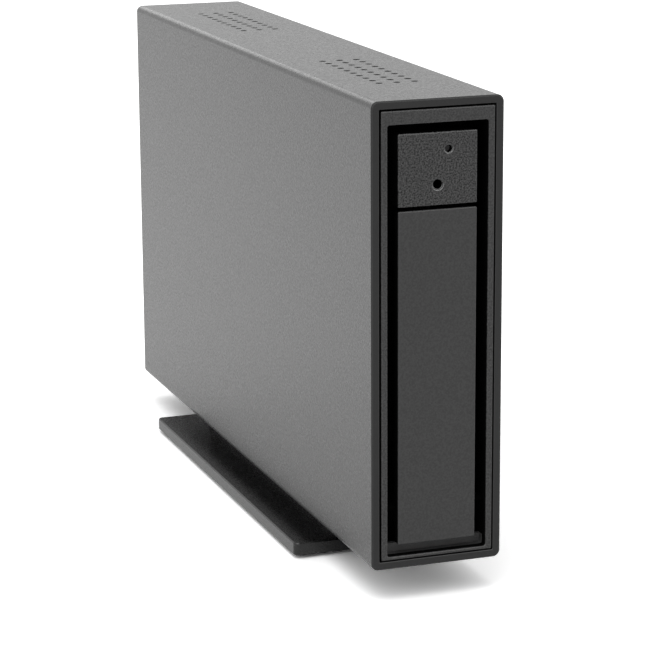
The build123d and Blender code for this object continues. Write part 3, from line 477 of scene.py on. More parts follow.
@dataclass(frozen=True)
class GrainedFinish:
    """A finish whose fine grain shows in its colour, its gloss and its relief.

    Attributes:
        name: The material's name.
        colour: Its linear colour.
        roughness: Its mean roughness.
        grain: Size of the grains in metres.
        depth: Depth of the relief in metres.
        sparkle: How far single grains differ from the mean colour, as a share.
        edge: Radius of its softened edges in metres.
        LAYERS: How many finer layers the grain has.
        GLINT: How far single grains differ from the mean roughness.
    """

    name: str
    colour: Colour
    roughness: float = 0.5
    grain: float = 0.25 * MM
    depth: float = 0.01 * MM
    sparkle: float = 0.06
    edge: float = 0.0

    LAYERS: ClassVar[float] = 3.0
    GLINT: ClassVar[float] = 0.04

    def make(self) -> bpy.types.Material:
        """Build the material."""
        return self.tree().material

    def tree(self) -> ShaderTree:
        """Build the nodes, for a finish that adds to them.

        Returns:
            The material's tree.
        """
        tree = ShaderTree(self.name)
        grains = tree.noise(self.grain, self.LAYERS)
        tree.paint(self.colour, tree.spread(grains, 1 - self.sparkle, 1 + self.sparkle))
        tree.polish(tree.spread(grains, self.roughness + self.GLINT, self.roughness - self.GLINT))
        tree.bump(grains, self.depth, self.edge)
        return tree


@dataclass(frozen=True)
class BlastedMetal(GrainedFinish):
    """Bead-blasted and anodised metal, with a fine sparkle.

    Attributes:
        metallic: How much of it reflects as metal.
    """

    roughness: float = 0.3
    grain: float = 0.42 * MM
    depth: float = 0.012 * MM
    sparkle: float = 0.3
    metallic: float = 0.0

    LAYERS: ClassVar[float] = 1.0
    GLINT: ClassVar[float] = 0.05

    def tree(self) -> ShaderTree:
        """Build the nodes, and make them metal.

        Returns:
            The material's tree.
        """
        tree = super().tree()
        tree.plain(Metallic=self.metallic)
        return tree


@dataclass(frozen=True)
class MouldedPlastic(GrainedFinish):
    """Moulded plastic with a spark-eroded texture.

    Attributes:
        specular: Strength of its reflection, where a half is usual.
    """

    specular: float = 0.5

    def tree(self) -> ShaderTree:
        """Build the nodes, and set how strongly they reflect.

        Returns:
            The material's tree.
        """
        tree = super().tree()
        tree.plain(Specular_IOR_Level=self.specular)
        return tree


@dataclass(frozen=True)
class SleeveMetal:
    """The sleeve: blasted outside, with painted shade on its cut rims, inside the tube and in its vents, and
    a painted highlight on its edges.

    Attributes:
        outside: Finish of the outside.
        rim: Colour of the cut rims, painted darker as painted shade for ends that get less light.
        highlight: The painted highlight on its edges.
        inside: Colour of the painted shade inside the tube and in the vents.
        rim_roughness: Roughness of the cut rims.
        inside_roughness: Roughness inside.
        rim_depth: Depth of a rim with its chamfer, in metres.
        skin: How far under the outside the painted shade inside starts, in metres.
        vents_half: Half the width of the vented strip in the top, in metres.
        vents_skin: How far under the top the painted shade of a vent starts, in metres.
        fade: How far a change of colour takes, in metres.
    """

    outside: BlastedMetal
    rim: Colour
    wear: EdgeHighlight
    inside: Colour
    rim_roughness: float = 0.65
    inside_roughness: float = 0.8
    rim_depth: float = 0.3 * MM
    skin: float = 0.65 * MM
    vents_half: float = 7.0 * MM
    vents_skin: float = 0.2 * MM
    fade: float = 0.06 * MM

    def make(self) -> bpy.types.Material:
        """Build the material.

        Returns:
            The finished material.
        """
        low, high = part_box("sleeve")
        front, back = low.y + self.rim_depth, high.y - self.rim_depth
        tree = self.outside.tree()
        # painted shade: the cut rims at both ends are painted darker and duller than the outside
        tree.recolour(~tree.between(Axis.Y, front, back, self.fade), self.rim, self.rim_roughness)
        # painted highlight on the sleeve's edges
        self.wear.brighten_edges(tree)
        # painted shade: near black inside the tube and in the vents, where shade falls
        wall = Vector((self.skin, self.rim_depth, self.skin))
        tube_shade = tree.within(low + wall, high - wall, self.fade)
        vents_foot = Vector((-self.vents_half, front, (low.z + high.z) / 2))
        vents_top = Vector((self.vents_half, back, high.z - self.vents_skin))
        vent_shade = tree.within(vents_foot, vents_top, self.fade)
        tree.recolour(tube_shade | vent_shade, self.inside, self.inside_roughness)
        return tree.material


@dataclass(frozen=True)
class PlatedMetal:
    """Plated, drawn or rolled metal, with fine lines along one axis and a faint stain.

    Attributes:
        name: The material's name.
        colour: Its linear colour.
        roughness: Its mean roughness.
        lines: Scales along the three axes, small along the lines.
        line_width: Width of the lines in metres.
        depth: Depth of the lines in metres.
        stain_size: Size of the stain's patches in metres.
        stain_layers: How many finer layers the stain has.
        stain_tint: What the stain multiplies the colour by, at its darkest and palest.
        stain_gloss: What it adds to the roughness there.
    """

    name: str
    colour: Colour
    roughness: float = 0.32
    lines: tuple = (1.0, 1.0, 1.0)
    line_width: float = 0.3 * MM
    depth: float = 0.002 * MM
    stain_size: float = 3.5 * MM
    stain_layers: float = 4.0
    stain_tint: tuple[float, float] = (0.92, 1.06)
    stain_gloss: tuple[float, float] = (-0.05, 0.07)

    def make(self) -> bpy.types.Material:
        """Build the material.

        Returns:
            The finished material.
        """
        tree = ShaderTree(self.name)
        tree.plain(Metallic=1.0)
        drawn = tree.noise(self.line_width, stretch=self.lines)
        stain = tree.noise(self.stain_size, self.stain_layers)
        tree.paint(self.colour, tree.spread(stain, *self.stain_tint))
        tree.polish(tree.spread(stain, *(self.roughness + change for change in self.stain_gloss)))
        tree.bump(drawn, self.depth)
        return tree.material


@dataclass(frozen=True)
class SolderResist:
    """A circuit board: resist over copper tracks and a woven laminate.

    Attributes:
        name: The material's name.
        resist: Colour over bare laminate.
        track: Colour over copper.
        pitch: Distance between the tracks' cells in metres.
        straying: How far the cells stray from a square grid, as a share.
        track_edge: How far from a cell's middle its copper starts and is whole, as shares of the pitch.
        weave: Size of the laminate's weave in metres.
        weave_share: How much of the relief the weave makes.
        depth: Depth of the relief in metres.
    """

    name: str
    resist: Colour
    track: Colour
    pitch: float = 1.6 * MM
    straying: float = 0.55
    track_edge: tuple[float, float] = (0.36, 0.4)
    weave: float = 0.5 * MM
    weave_share: float = 0.2
    depth: float = 0.03 * MM

    def make(self) -> bpy.types.Material:
        """Build the material.

        Returns:
            The finished material.
        """
        tree = ShaderTree(self.name)
        tree.plain(Roughness=0.3, Coat_Weight=0.25, Coat_Roughness=0.15)
        values = {"Vector": tree.place, "Scale": 1 / self.pitch, "Randomness": self.straying}
        cells = tree.take("ShaderNodeTexVoronoi", values, "Distance", distance="CHEBYCHEV", feature="F1")
        copper = tree.ramp(cells, self.track_edge)
        tree.give(tree.shader.inputs["Base Color"], tree.blend(copper, self.resist, self.track))
        relief = copper * (1 - self.weave_share) + tree.noise(self.weave) * self.weave_share
        tree.bump(relief, self.depth)
        return tree.material


@dataclass(frozen=True)
class ClearPlastic:
    """Clear acrylic, faintly clouded.

    Attributes:
        name: The material's name.
        tint: Its linear colour.
        roughness: Its roughness.
        clearness: How much light passes through, as a share.
        index: Its refractive index.
        cloud: Size of the clouds in metres.
        cloud_tint: What they multiply the tint by at their darkest.
    """

    name: str
    tint: Colour
    roughness: float = 0.08
    clearness: float = 0.9
    index: float = 1.49
    cloud: float = 2.0 * MM
    cloud_tint: float = 0.95

    def make(self) -> bpy.types.Material:
        """Build the material.

        Returns:
            The finished material.
        """
        tree = ShaderTree(self.name)
        tree.plain(Transmission_Weight=self.clearness, IOR=self.index, Roughness=self.roughness)
        tree.paint(self.tint, tree.spread(tree.noise(self.cloud), self.cloud_tint, 1.0))
        return tree.material


@dataclass(frozen=True)
class RecessedPlastic:
    """A piece of the front: textured on its face, with near black painted shade behind it in the deep well
    and a painted highlight on its edges.

    Attributes:
        name: The material's name.
        face: Finish of the face.
        node: The piece that it is for.
        highlight: The painted highlight on its edges.
        recess: Colour of the painted shade behind the face.
        recess_roughness: Roughness behind the face.
        recess_specular: Strength of the reflection behind the face, lowered with the painted shade.
        face_depth: How far behind the face the painted shade starts, in metres.
        fade: How far a change of colour takes, in metres.
    """

    name: str
    face: MouldedPlastic
    node: str
    wear: EdgeHighlight
    recess: Colour
    recess_roughness: float = 0.7
    recess_specular: float = 0.06
    face_depth: float = 0.35 * MM
    fade: float = 0.1 * MM

    def make(self) -> bpy.types.Material:
        """Build the material."""
        return self.tree().material

    def tree(self) -> ShaderTree:
        """Build the nodes, for a finish that adds to them.

        Returns:
            The material's tree.
        """
        tree = self.face.tree()
        tree.material.name = self.name
        # painted highlight on the piece's edges
        self.wear.brighten_edges(tree)
        low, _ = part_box(self.node)
        # painted shade: behind the face the piece is painted near black, duller and with less reflection,
        # where the well is in shade
        behind = tree.past(Axis.Y, low.y + self.face_depth, self.fade)
        tree.recolour(behind, self.recess, self.recess_roughness)
        shine = tree.ramp(behind, (0.0, 1.0), (self.face.specular, self.recess_specular))
        tree.give(tree.shader.inputs["Specular IOR Level"], shine)
        return tree


@dataclass(frozen=True)
class FrontPlastic(RecessedPlastic):
    """The tray front: a textured face and a well in near black painted shade, with the sill across the well's
    foot painted paler as painted light.

    Attributes:
        sill: Colour of the sill, painted paler as light falling on the ledge.
        sill_roughness: Roughness of the sill.
        sill_inset: How far its ends stay inside the front's sides, in metres.
        sill_span: How far behind the face it starts and ends, in metres.
        sill_levels: How high above the front's foot it starts and ends, in metres.
    """

    sill: Colour = grey(84)
    sill_roughness: float = 0.5
    sill_inset: float = 0.5 * MM
    sill_span: tuple[float, float] = (2.35 * MM, 5.6 * MM)
    sill_levels: tuple[float, float] = (0.4 * MM, 3.2 * MM)

    def tree(self) -> ShaderTree:
        """Build the nodes, and lay the sill's painted light over them.

        Returns:
            The material's tree.
        """
        low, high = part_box(self.node)
        tree = super().tree()
        foot = Vector((low.x + self.sill_inset, low.y + self.sill_span[0], low.z + self.sill_levels[0]))
        top = Vector((high.x - self.sill_inset, low.y + self.sill_span[1], low.z + self.sill_levels[1]))
        # painted light: the sill is painted paler than the face, where light falls on the ledge in the shaded
        # well
        tree.recolour(tree.within(foot, top, self.fade), self.sill, self.sill_roughness)
        return tree


class Finishes:
    """Every material on the drive, made once."""

    def __init__(self) -> None:
        """Build the materials, those seen in the photograph first."""
        self.housing_finishes()
        self.front_finishes()
        self.plain_plastics()
        self.bare_metals()
        self.board = SolderResist("board_resist", (0.004, 0.075, 0.03, 1.0), (0.012, 0.15, 0.06, 1.0)).make()
        self.pipe = ClearPlastic("light_pipe_acrylic", (0.8, 0.84, 0.86, 1.0)).make()

    def housing_finishes(self) -> None:
        """Build the finishes of the sleeve, the stand and the rear panel."""
        outside = BlastedMetal(
            "sleeve_blasted", grey(47), grain=0.6 * MM, depth=0.05 * MM, sparkle=0.1, edge=0.1 * MM
        )
        # rim and inside are painted shade, and the edges' grey(82) is a painted highlight
        self.sleeve = SleeveMetal(outside, rim=grey(8), wear=EdgeHighlight(grey(82)), inside=grey(4)).make()
        satin = BlastedMetal("stand_satin", grey(12), roughness=0.24, sparkle=0.15, depth=0.004 * MM)
        self.stand = satin.make()
        self.panel = BlastedMetal("panel_satin", grey(44), sparkle=0.15).make()

    def front_finishes(self) -> None:
        """Build the three textures of the front with their painted shade and painted edge highlights, the
        lens and the pin in painted shade.
        """
        # painted highlights on the edges: pale on the front and handle, palest on the button
        front_highlight, button_highlight = EdgeHighlight(grey(165)), EdgeHighlight(grey(205))
        middling = {"grain": 0.45 * MM, "depth": 0.2 * MM, "sparkle": 0.8, "edge": 0.1 * MM}
        coarse = {"grain": 0.42 * MM, "depth": 0.4 * MM, "sparkle": 0.8, "edge": 0.1 * MM, "specular": 0.25}
        fine = {"grain": 0.45 * MM, "depth": 0.06 * MM, "sparkle": 0.25, "edge": 0.1 * MM}
        rim = MouldedPlastic("tray_front_face", grey(34), **middling)
        cap = MouldedPlastic("button_face", grey(57), **coarse)
        plate = MouldedPlastic("handle_face", grey(34), **fine)
        # grey(2) and grey(3) are the painted shade behind each face in the well
        self.front = FrontPlastic("tray_front_spark", rim, "tray_front", front_highlight, grey(2)).make()
        self.button = RecessedPlastic("button_coarse_spark", cap, "release_button", button_highlight, grey(3)).make()
        self.handle = RecessedPlastic("handle_fine_spark", plate, "pull_handle", front_highlight, grey(3)).make()
        self.lens = MouldedPlastic("lens_smoke", grey(8), roughness=0.12, depth=0.0, specular=0.2).make()
        # painted shade: the hinge pin in the well is painted near black with almost no reflection
        self.shaded_pin = MouldedPlastic("hinge_pin_shade", grey(1), roughness=0.8, specular=0.02).make()

    def plain_plastics(self) -> None:
        """Build the plastics, rubber and ink that have no texture of their own."""
        self.black_plastic = MouldedPlastic("black_moulding", grey(28), roughness=0.45).make()
        gloss = MouldedPlastic("gloss_moulding", grey(24), roughness=0.18, depth=0.002 * MM)
        self.gloss_plastic = gloss.make()
        self.chip = MouldedPlastic("chip_moulding", grey(30), roughness=0.6, grain=0.12 * MM).make()
        self.ceramic = MouldedPlastic("ceramic_body", (0.27, 0.17, 0.1, 1.0), roughness=0.4).make()
        self.rubber = MouldedPlastic("foot_rubber", grey(26), roughness=0.85, specular=0.25).make()
        self.lead = MouldedPlastic("lead_covering", (0.35, 0.02, 0.015, 1.0), roughness=0.38).make()
        self.ink = MouldedPlastic("mark_ink", grey(225), roughness=0.6, depth=0.0).make()

    def bare_metals(self) -> None:
        """Build the metals of the screws, springs, sheet, contacts and cans."""
        cast = {"metallic": 0.8, "roughness": 0.4, "sparkle": 0.1}
        self.case = BlastedMetal("drive_case_blasted", (0.3, 0.305, 0.31, 1.0), **cast).make()
        self.zinc = PlatedMetal("bright_zinc", (0.62, 0.62, 0.63, 1.0)).make()
        self.black_zinc = PlatedMetal("black_zinc", (0.05, 0.05, 0.052, 1.0), roughness=0.4).make()
        sheet = PlatedMetal("zinc_sheet", (0.52, 0.53, 0.54, 1.0), roughness=0.36, lines=(8.0, 0.5, 8.0))
        self.sheet = sheet.make()
        self.wire = PlatedMetal("blackened_spring", (0.03, 0.03, 0.031, 1.0), roughness=0.35).make()
        self.shell = PlatedMetal("nickel_shell", (0.66, 0.65, 0.62, 1.0), roughness=0.22).make()
        can = PlatedMetal("drawn_can", (0.7, 0.7, 0.72, 1.0), roughness=0.3, lines=(1.0, 1.0, 0.2))
        self.can = can.make()
        self.gold = PlatedMetal("gold_contact", (0.9, 0.62, 0.24, 1.0), roughness=0.2).make()
        self.tin = PlatedMetal("tinned_leg", (0.72, 0.72, 0.74, 1.0), roughness=0.28).make()


def merged_copy(node: str) -> bmesh.types.BMesh:
    """Copy a CAD node's mesh with its loose triangles joined.

    Args:
        node: The node's name.

    Returns:
        The copy, to be freed after use.
    """
    mesh = bmesh.new()
    mesh.from_mesh(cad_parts[node].data)
    bmesh.ops.remove_doubles(mesh, verts=mesh.verts, dist=MERGE)
    return mesh


def solid_boxes(node: str) -> list[tuple[Vector, Vector]]:
    """Corners of each separate solid in a node.

    Args:
        node: The node's name.

    Returns:
        The lowest and highest corner of each solid, from left to right, then front to back, then up.
    """
    mesh = merged_copy(node)
    unseen = set(mesh.verts)
    boxes = []
    for start in mesh.verts:
        if start not in unseen:
            continue
        unseen.discard(start)
        found = [start]
        for vertex in found:
            near = {edge.other_vert(vertex) for edge in vertex.link_edges} & unseen
            unseen -= near
            found.extend(near)
        low = Vector([min(v.co[axis] for v in found) for axis in Axis])
        high = Vector([max(v.co[axis] for v in found) for axis in Axis])
        boxes.append((low, high))
    mesh.free()
    return sorted(boxes, key=lambda box: tuple(round(c, MICRON_PLACES) for c in box[0]))


def end_middle(box: tuple[Vector, Vector], side: Side) -> Vector:
    """Middle of a box's face.

    Args:
        box: Lowest and highest corner.
        side: Which face.

    Returns:
        The face's middle.
    """
    low, high = box
    return (low + high) / 2 + side.vector * ((high - low) / 2)


def linked(name: str, data: bpy.types.ID) -> bpy.types.Object:
    """Make an object and link it to the scene.

    Args:
        name: The object's name.
        data: Its mesh, lamp or camera.

    Returns:
        The object, at the origin.
    """
    made = bpy.data.objects.new(name, data)
    bpy.context.scene.collection.objects.link(made)
    return made


def modelled(name: str, mesh: bmesh.types.BMesh, finish: bpy.types.Material) -> bpy.types.Object:
    """Make an object of a given mesh, and free the mesh.

    Args:
        name: The object's name.
        mesh: The worked mesh.
        finish: Its material.

    Returns:
        The object, at the origin.
    """
    data = bpy.data.meshes.new(name)
    mesh.to_mesh(data)
    mesh.free()
    data.materials.append(finish)
    return linked(name, data)


def keep_result(piece: bpy.types.Object) -> None:
    """Turn what a piece's modifiers make into its plain mesh, and take them off.

    Args:
        piece: The piece.
    """
    shown = piece.evaluated_get(bpy.context.evaluated_depsgraph_get())
    result = bpy.data.meshes.new_from_object(shown)
    piece.modifiers.clear()
    piece.data = result
    result.name = piece.name


def seat(piece: bpy.types.Object, body: Body, slot: str | None, *nodes: str) -> None:
    """Make a piece ride on its body and stand for CAD nodes.

    Args:
        piece: The piece.
        body: What it rides on.
        slot: The record's material slot, if it has one there; not used.
        *nodes: The CAD nodes that it stands for, if any.
    """
    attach(piece, body.value)
    if nodes:
        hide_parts(*nodes)
    log.info("%s: %d faces on %s", piece.name, len(piece.data.polygons), body.value)


@dataclass(frozen=True)
class Spot:
    """Where one copy of a repeated shape stands.

    Attributes:
        place: Its foot, in metres.
        side: The way that it looks.
        turn: Its turn about that direction, in radians.
    """

    place: Vector
    side: Side
    turn: float = 0.0


class GeometryTree(NodeTree):
    """A Geometry Nodes tree with named inputs, grown on spots and kept as a plain mesh."""

    FACING = "facing"
    TURN = "turn"

    def __init__(self, name: str) -> None:
        """Start an empty tree.

        Args:
            name: The tree's name.
        """
        super().__init__(bpy.data.node_groups.new(name, "GeometryNodeTree"))
        self.tree.is_modifier = True
        self.names: dict[str, str] = {}
        self.entry = self.tree.nodes.new("NodeGroupInput")
        for way in ("INPUT", "OUTPUT"):
            self.tree.interface.new_socket("Geometry", in_out=way, socket_type="NodeSocketGeometry")
        self.points = self.entry.outputs["Geometry"]

    def size(self, name: str, kind: str = "Float") -> Value:
        """Declare a named input.

        Args:
            name: The input's name.
            kind: Its socket type, such as Float, Int or Material.

        Returns:
            What the input carries.
        """
        made = self.tree.interface.new_socket(name, in_out="INPUT", socket_type="NodeSocket" + kind)
        self.names[name] = made.identifier
        return Value(self, self.entry.outputs[name])

    def close(self, geometry: Socket) -> None:
        """End the tree with real geometry in its material.

        Args:
            geometry: What the tree has made.
        """
        real = self.add("GeometryNodeRealizeInstances", {0: geometry}).outputs[0]
        painted = {"Geometry": real, "Material": self.size("Finish", "Material")}
        self.add("NodeGroupOutput", {0: self.take("GeometryNodeSetMaterial", painted)})

    def grow(
        self, name: str, spots: list[Spot], finish: bpy.types.Material, **values: object
    ) -> bpy.types.Object:
        """Grow the tree on some spots and keep the result as a plain mesh.

        Args:
            name: The new piece's name.
            spots: Where it grows.
            finish: Its material.
            **values: The tree's inputs, with low lines for spaces.

        Returns:
            The finished piece.
        """
        mesh = bpy.data.meshes.new(name)
        mesh.from_pydata([tuple(spot.place) for spot in spots], [], [])
        mesh.attributes.new(self.FACING, "FLOAT_VECTOR", "POINT")
        mesh.attributes.new(self.TURN, "FLOAT", "POINT")
        for index, spot in enumerate(spots):
            mesh.attributes[self.FACING].data[index].vector = spot.side.value
            mesh.attributes[self.TURN].data[index].value = spot.turn
        piece = linked(name, mesh)
        modifier = piece.modifiers.new("grown", "NODES")
        modifier.node_group = self.tree
        modifier[self.names["Finish"]] = finish
        for key, value in values.items():
            modifier[self.names[key.replace("_", " ")]] = value
        keep_result(piece)
        bpy.data.meshes.remove(mesh)
        return piece

    def named(self, name: str, kind: str) -> Value:
        """The value that each spot carries under a name, of one kind of data."""
        return self.take("GeometryNodeInputNamedAttribute", {"Name": name}, "Attribute", data_type=kind)

    def place(self) -> list[Value]:
        """Coordinates of a point of the shape."""
        return self.coordinates(self.take("GeometryNodeInputPosition"))

    def vector(self, x: object = 0.0, y: object = 0.0, z: object = 0.0) -> Value:
        """Join three coordinates."""
        return self.take("ShaderNodeCombineXYZ", {"X": x, "Y": y, "Z": z})

    def reshaped(self, geometry: Socket, position: Value) -> Socket:
        """Put every point of some geometry at a worked-out position."""
        return self.add("GeometryNodeSetPosition", {"Geometry": geometry, "Position": position}).outputs[0]

    def swept(self, path: Socket, section: Socket) -> Socket:
        """Sweep a closed section along a path, with its ends closed."""
        values = {"Curve": path, "Profile Curve": section, "Fill Caps": True}
        return self.add("GeometryNodeCurveToMesh", values).outputs[0]

    def cylinder(self, rounds: int, rows: object, radius: object, length: object) -> Socket:
        """A cylinder about the origin, by its sides, its rows of faces, its radius and its length."""
        values = {"Vertices": rounds, "Side Segments": rows, "Radius": radius, "Depth": length}
        return self.add("GeometryNodeMeshCylinder", values).outputs["Mesh"]

    def block(self, width: object, length: object, height: object) -> Socket:
        """A block about the origin."""
        values = {"Size": self.vector(width, length, height)}
        return self.add("GeometryNodeMeshCube", values).outputs["Mesh"]

    def repeated(self, shape: Socket, spin: Value | None = None) -> Socket:
        """Set a shape on every spot, with its own Z along the way that the spot looks.

        Args:
            shape: The shape to repeat.
            spin: A turn about that axis for each copy, in place of the spot's own.

        Returns:
            The copies, as instances.
        """
        turn = self.vector(z=self.named(self.TURN, "FLOAT") if spin is None else spin)
        first = self.take("FunctionNodeEulerToRotation", {0: turn})
        facing = self.named(self.FACING, "FLOAT_VECTOR")
        turned = {"Rotation": first, "Vector": facing}
        aimed = self.take("FunctionNodeAlignRotationToVector", turned, axis="Z")
        values = {"Points": self.points, "Instance": shape, "Rotation": aimed}
        return self.add("GeometryNodeInstanceOnPoints", values).outputs[0]


class ScrewTree(GeometryTree):
    """Machine screws with a cross recess and a rolled thread."""

    HEAD_ROWS = 8
    ROUND = 28
    ROWS_PER_TURN = 5.0
    CROWN_POWER = 4.0
    RECESS_TAPER = 0.45

    def __init__(self) -> None:
        """Build the tree."""
        super().__init__("machine_screws")
        whole = self.add("GeometryNodeJoinGeometry", {0: [self.head(), self.shank()]}).outputs[0]
        # Inputs 2 and 3 are the ends of a plain random number, and output 1 is the number.
        seeded = {2: 0.0, 3: math.tau, "Seed": self.size("Seed", "Int")}
        self.close(self.repeated(whole, self.take("FunctionNodeRandomValue", seeded, 1)))

    def head(self) -> Socket:
        """Head with its cross recess, standing on the screw's origin.

        Returns:
            The head.
        """
        height = self.size("Head Height")
        blank = self.cylinder(self.ROUND, self.HEAD_ROWS, 1.0, height)
        x, y, z = self.place()
        rise = z / height + 0.5
        straight = self.ramp(rise, (0.0, 1.0), (self.size("Foot Radius"), self.size("Top Radius")))
        domed = (1.0 - (rise * self.size("Crown")) ** self.CROWN_POWER) ** (1 / self.CROWN_POWER)
        radius = straight * domed
        point = self.vector(x * radius, y * radius, rise * height)
        return self.crossed(self.reshaped(blank, point), height)

    def crossed(self, shaped: Socket, height: Value) -> Socket:
        """Cut a tapered cross into the top of the head.

        Args:
            shaped: The head without its recess.
            height: The head's height.

        Returns:
            The head with its recess.
        """
        span, width, depth = self.size("Recess Span"), self.size("Recess Width"), self.size("Recess Depth")
        cutter = self.block(span, width, depth * 2.0)
        x, y, z = self.place()
        inward = 1.0 - (z < 0.0) * self.RECESS_TAPER
        tapered = self.reshaped(cutter, self.vector(x * inward, y, z))
        lifted = {"Geometry": tapered, "Translation": self.vector(z=height)}
        arms = [
            self.take("GeometryNodeTransform", {**lifted, "Rotation": (0.0, 0.0, turn)})
            for turn in (0.0, math.pi / 2)
        ]
        values = {"Mesh 1": shaped, "Mesh 2": arms}
        return self.add("GeometryNodeMeshBoolean", values, operation="DIFFERENCE").outputs["Mesh"]

    def shank(self) -> Socket:
        """Shank below the origin, with a helical thread.

        Returns:
            The shank.
        """
        radius, length = self.size("Shank Radius"), self.size("Shank Length")
        pitch, depth = self.size("Thread Pitch"), self.size("Thread Depth")
        blank = self.cylinder(self.ROUND, length / pitch * self.ROWS_PER_TURN, radius, length)
        x, y, z = self.place()
        turns = self.math("ARCTAN2", y, x) / math.tau
        phase = self.math("FRACT", z / pitch - turns)
        groove = abs(phase - 0.5) * 2.0
        share = 1.0 - groove * depth / radius
        return self.reshaped(blank, self.vector(x * share, y * share, z - length / 2.0))


class CoilTree(GeometryTree):
    """Compression springs whose end turns are closed, each wound from its spot the way that it looks."""

    STEPS = 30
    ROUND = 10

    def __init__(self) -> None:
        """Build the tree."""
        super().__init__("compression_springs")
        length, radius, wire = self.size("Length"), self.size("Coil Radius"), self.size("Wire Radius")
        turns, closed = self.size("Open Turns"), self.size("Closed Turns")
        thick = wire * 2.0
        whole = closed * 2.0 + turns
        winding = {"Resolution": self.STEPS, "Start Radius": radius, "End Radius": radius, "Height": 1.0}
        spiral = self.add("GeometryNodeCurveSpiral", {"Rotations": whole, **winding}).outputs[0]
        x, y, z = self.place()
        wound = z * whole
        first = (wound & closed) * thick
        open_run = length - thick - closed * thick * 2.0
        middle = self.ramp((wound - closed) / turns, (0.0, 1.0)) * open_run
        last = ((wound - (closed + turns)) | 0.0) * thick
        path = self.reshaped(spiral, self.vector(x, y, wire + first + (middle + last)))
        circle = {"Resolution": self.ROUND, "Radius": wire}
        section = self.add("GeometryNodeCurvePrimitiveCircle", circle).outputs[0]
        smooth = self.add("GeometryNodeSetShadeSmooth", {"Geometry": self.swept(path, section)}).outputs[0]
        self.close(self.repeated(smooth))


class PadTree(GeometryTree):
    """Low blocks with sloped sides, such as contact strips and small ceramic parts."""

    def __init__(self) -> None:
        """Build the tree."""
        super().__init__("sloped_pads")
        width, length, height = self.size("Width"), self.size("Length"), self.size("Height")
        slope = self.size("Slope") * 2.0
        blank = self.block(width, length, height)
        x, y, z = self.place()
        top = (z > 0.0) * slope
        point = self.vector(x * (1.0 - top / width), y * (1.0 - top / length), z + height / 2.0)
        self.close(self.repeated(self.reshaped(blank, point)))


class LegTree(GeometryTree):
    """Gull-wing legs: each leaves a chip's side level, bends down and ends flat on the board."""

    STEPS = 8
    KNEE = 0.7
    ANKLE = 0.2

    def __init__(self) -> None:
        """Build the tree."""
        super().__init__("gull_wing_legs")
        reach, rise = self.size("Reach"), self.size("Rise")
        width, thick = self.size("Width"), self.size("Thickness")
        foot = thick / 2.0
        ends = {
            "Start": self.vector(z=rise),
            "Start Handle": self.vector(reach * self.KNEE, z=rise),
            "End Handle": self.vector(reach * self.ANKLE, z=foot),
            "End": self.vector(reach, z=foot),
        }
        path = {"Resolution": self.STEPS, **ends}
        bend = self.add("GeometryNodeCurvePrimitiveBezierSegment", path).outputs[0]
        strip = {"Width": width, "Height": thick}
        section = self.add("GeometryNodeCurvePrimitiveQuadrilateral", strip).outputs[0]
        self.close(self.repeated(self.swept(bend, section)))


class Trees:
    """Every Geometry Nodes tree that the pieces are grown with, made once."""

    def __init__(self) -> None:
        """Build the trees."""
        self.screws = ScrewTree()
        self.coils = CoilTree()
        self.pads = PadTree()
        self.legs = LegTree()


@dataclass(frozen=True)
class ScrewSet:
    """One group of like screws.

    Attributes:
        node: The CAD node that they stand for, and their piece's name without its ending.
        side: The way that their heads look.
        head: Their kind of head.
        slot: The record's material slot.
        head_height: Height of the head.
        seed: Seed for the turn of each recess.
        shank_radius: Radius of the shank.
        pitch: Thread pitch.
        thread_depth: Depth of the thread as a share of its pitch.
        crown: How far a pan head is domed, where 1 would end in a point.
        recess_span: Span of the recess as a share of the head's radius.
        recess_width: Width of its arms as a share of the head's radius.
        recess_depth: Its depth as a share of the head's height.
    """

    node: str
    side: Side
    head: Head
    slot: str
    head_height: float = 1.8 * MM
    seed: int = 1
    shank_radius: float = 1.5 * MM
    pitch: float = 0.5 * MM
    thread_depth: float = 0.55
    crown: float = 0.93
    recess_span: float = 1.25
    recess_width: float = 0.3
    recess_depth: float = 0.62

    def build(self, tree: ScrewTree, finish: bpy.types.Material, body: Body) -> None:
        """Grow the screws where the CAD node's are.

        Args:
            tree: The screws' tree.
            finish: Their material.
            body: The body that they ride on.
        """
        boxes = solid_boxes(self.node)
        low, high = boxes[0]
        axis = [abs(n) for n in self.side.value].index(1.0)
        across = (axis + 1) % 3
        head_radius = (high[across] - low[across]) / 2
        out = self.side.vector * self.head_height
        flat = self.head is Head.FLAT
        piece = tree.grow(
            self.node + "_threaded",
            [Spot(end_middle(box, self.side) - out, self.side) for box in boxes],
            finish,
            Head_Height=self.head_height,
            Crown=0.0 if flat else self.crown,
            Foot_Radius=self.shank_radius if flat else head_radius,
            Top_Radius=head_radius,
            Recess_Span=self.recess_span * head_radius,
            Recess_Width=self.recess_width * head_radius,
            Recess_Depth=self.recess_depth * self.head_height,
            Shank_Radius=self.shank_radius,
            Shank_Length=high[axis] - low[axis] - self.head_height,
            Thread_Pitch=self.pitch,
            Thread_Depth=self.thread_depth * self.pitch,
            Seed=self.seed,
        )
        seat(piece, body, self.slot, self.node)


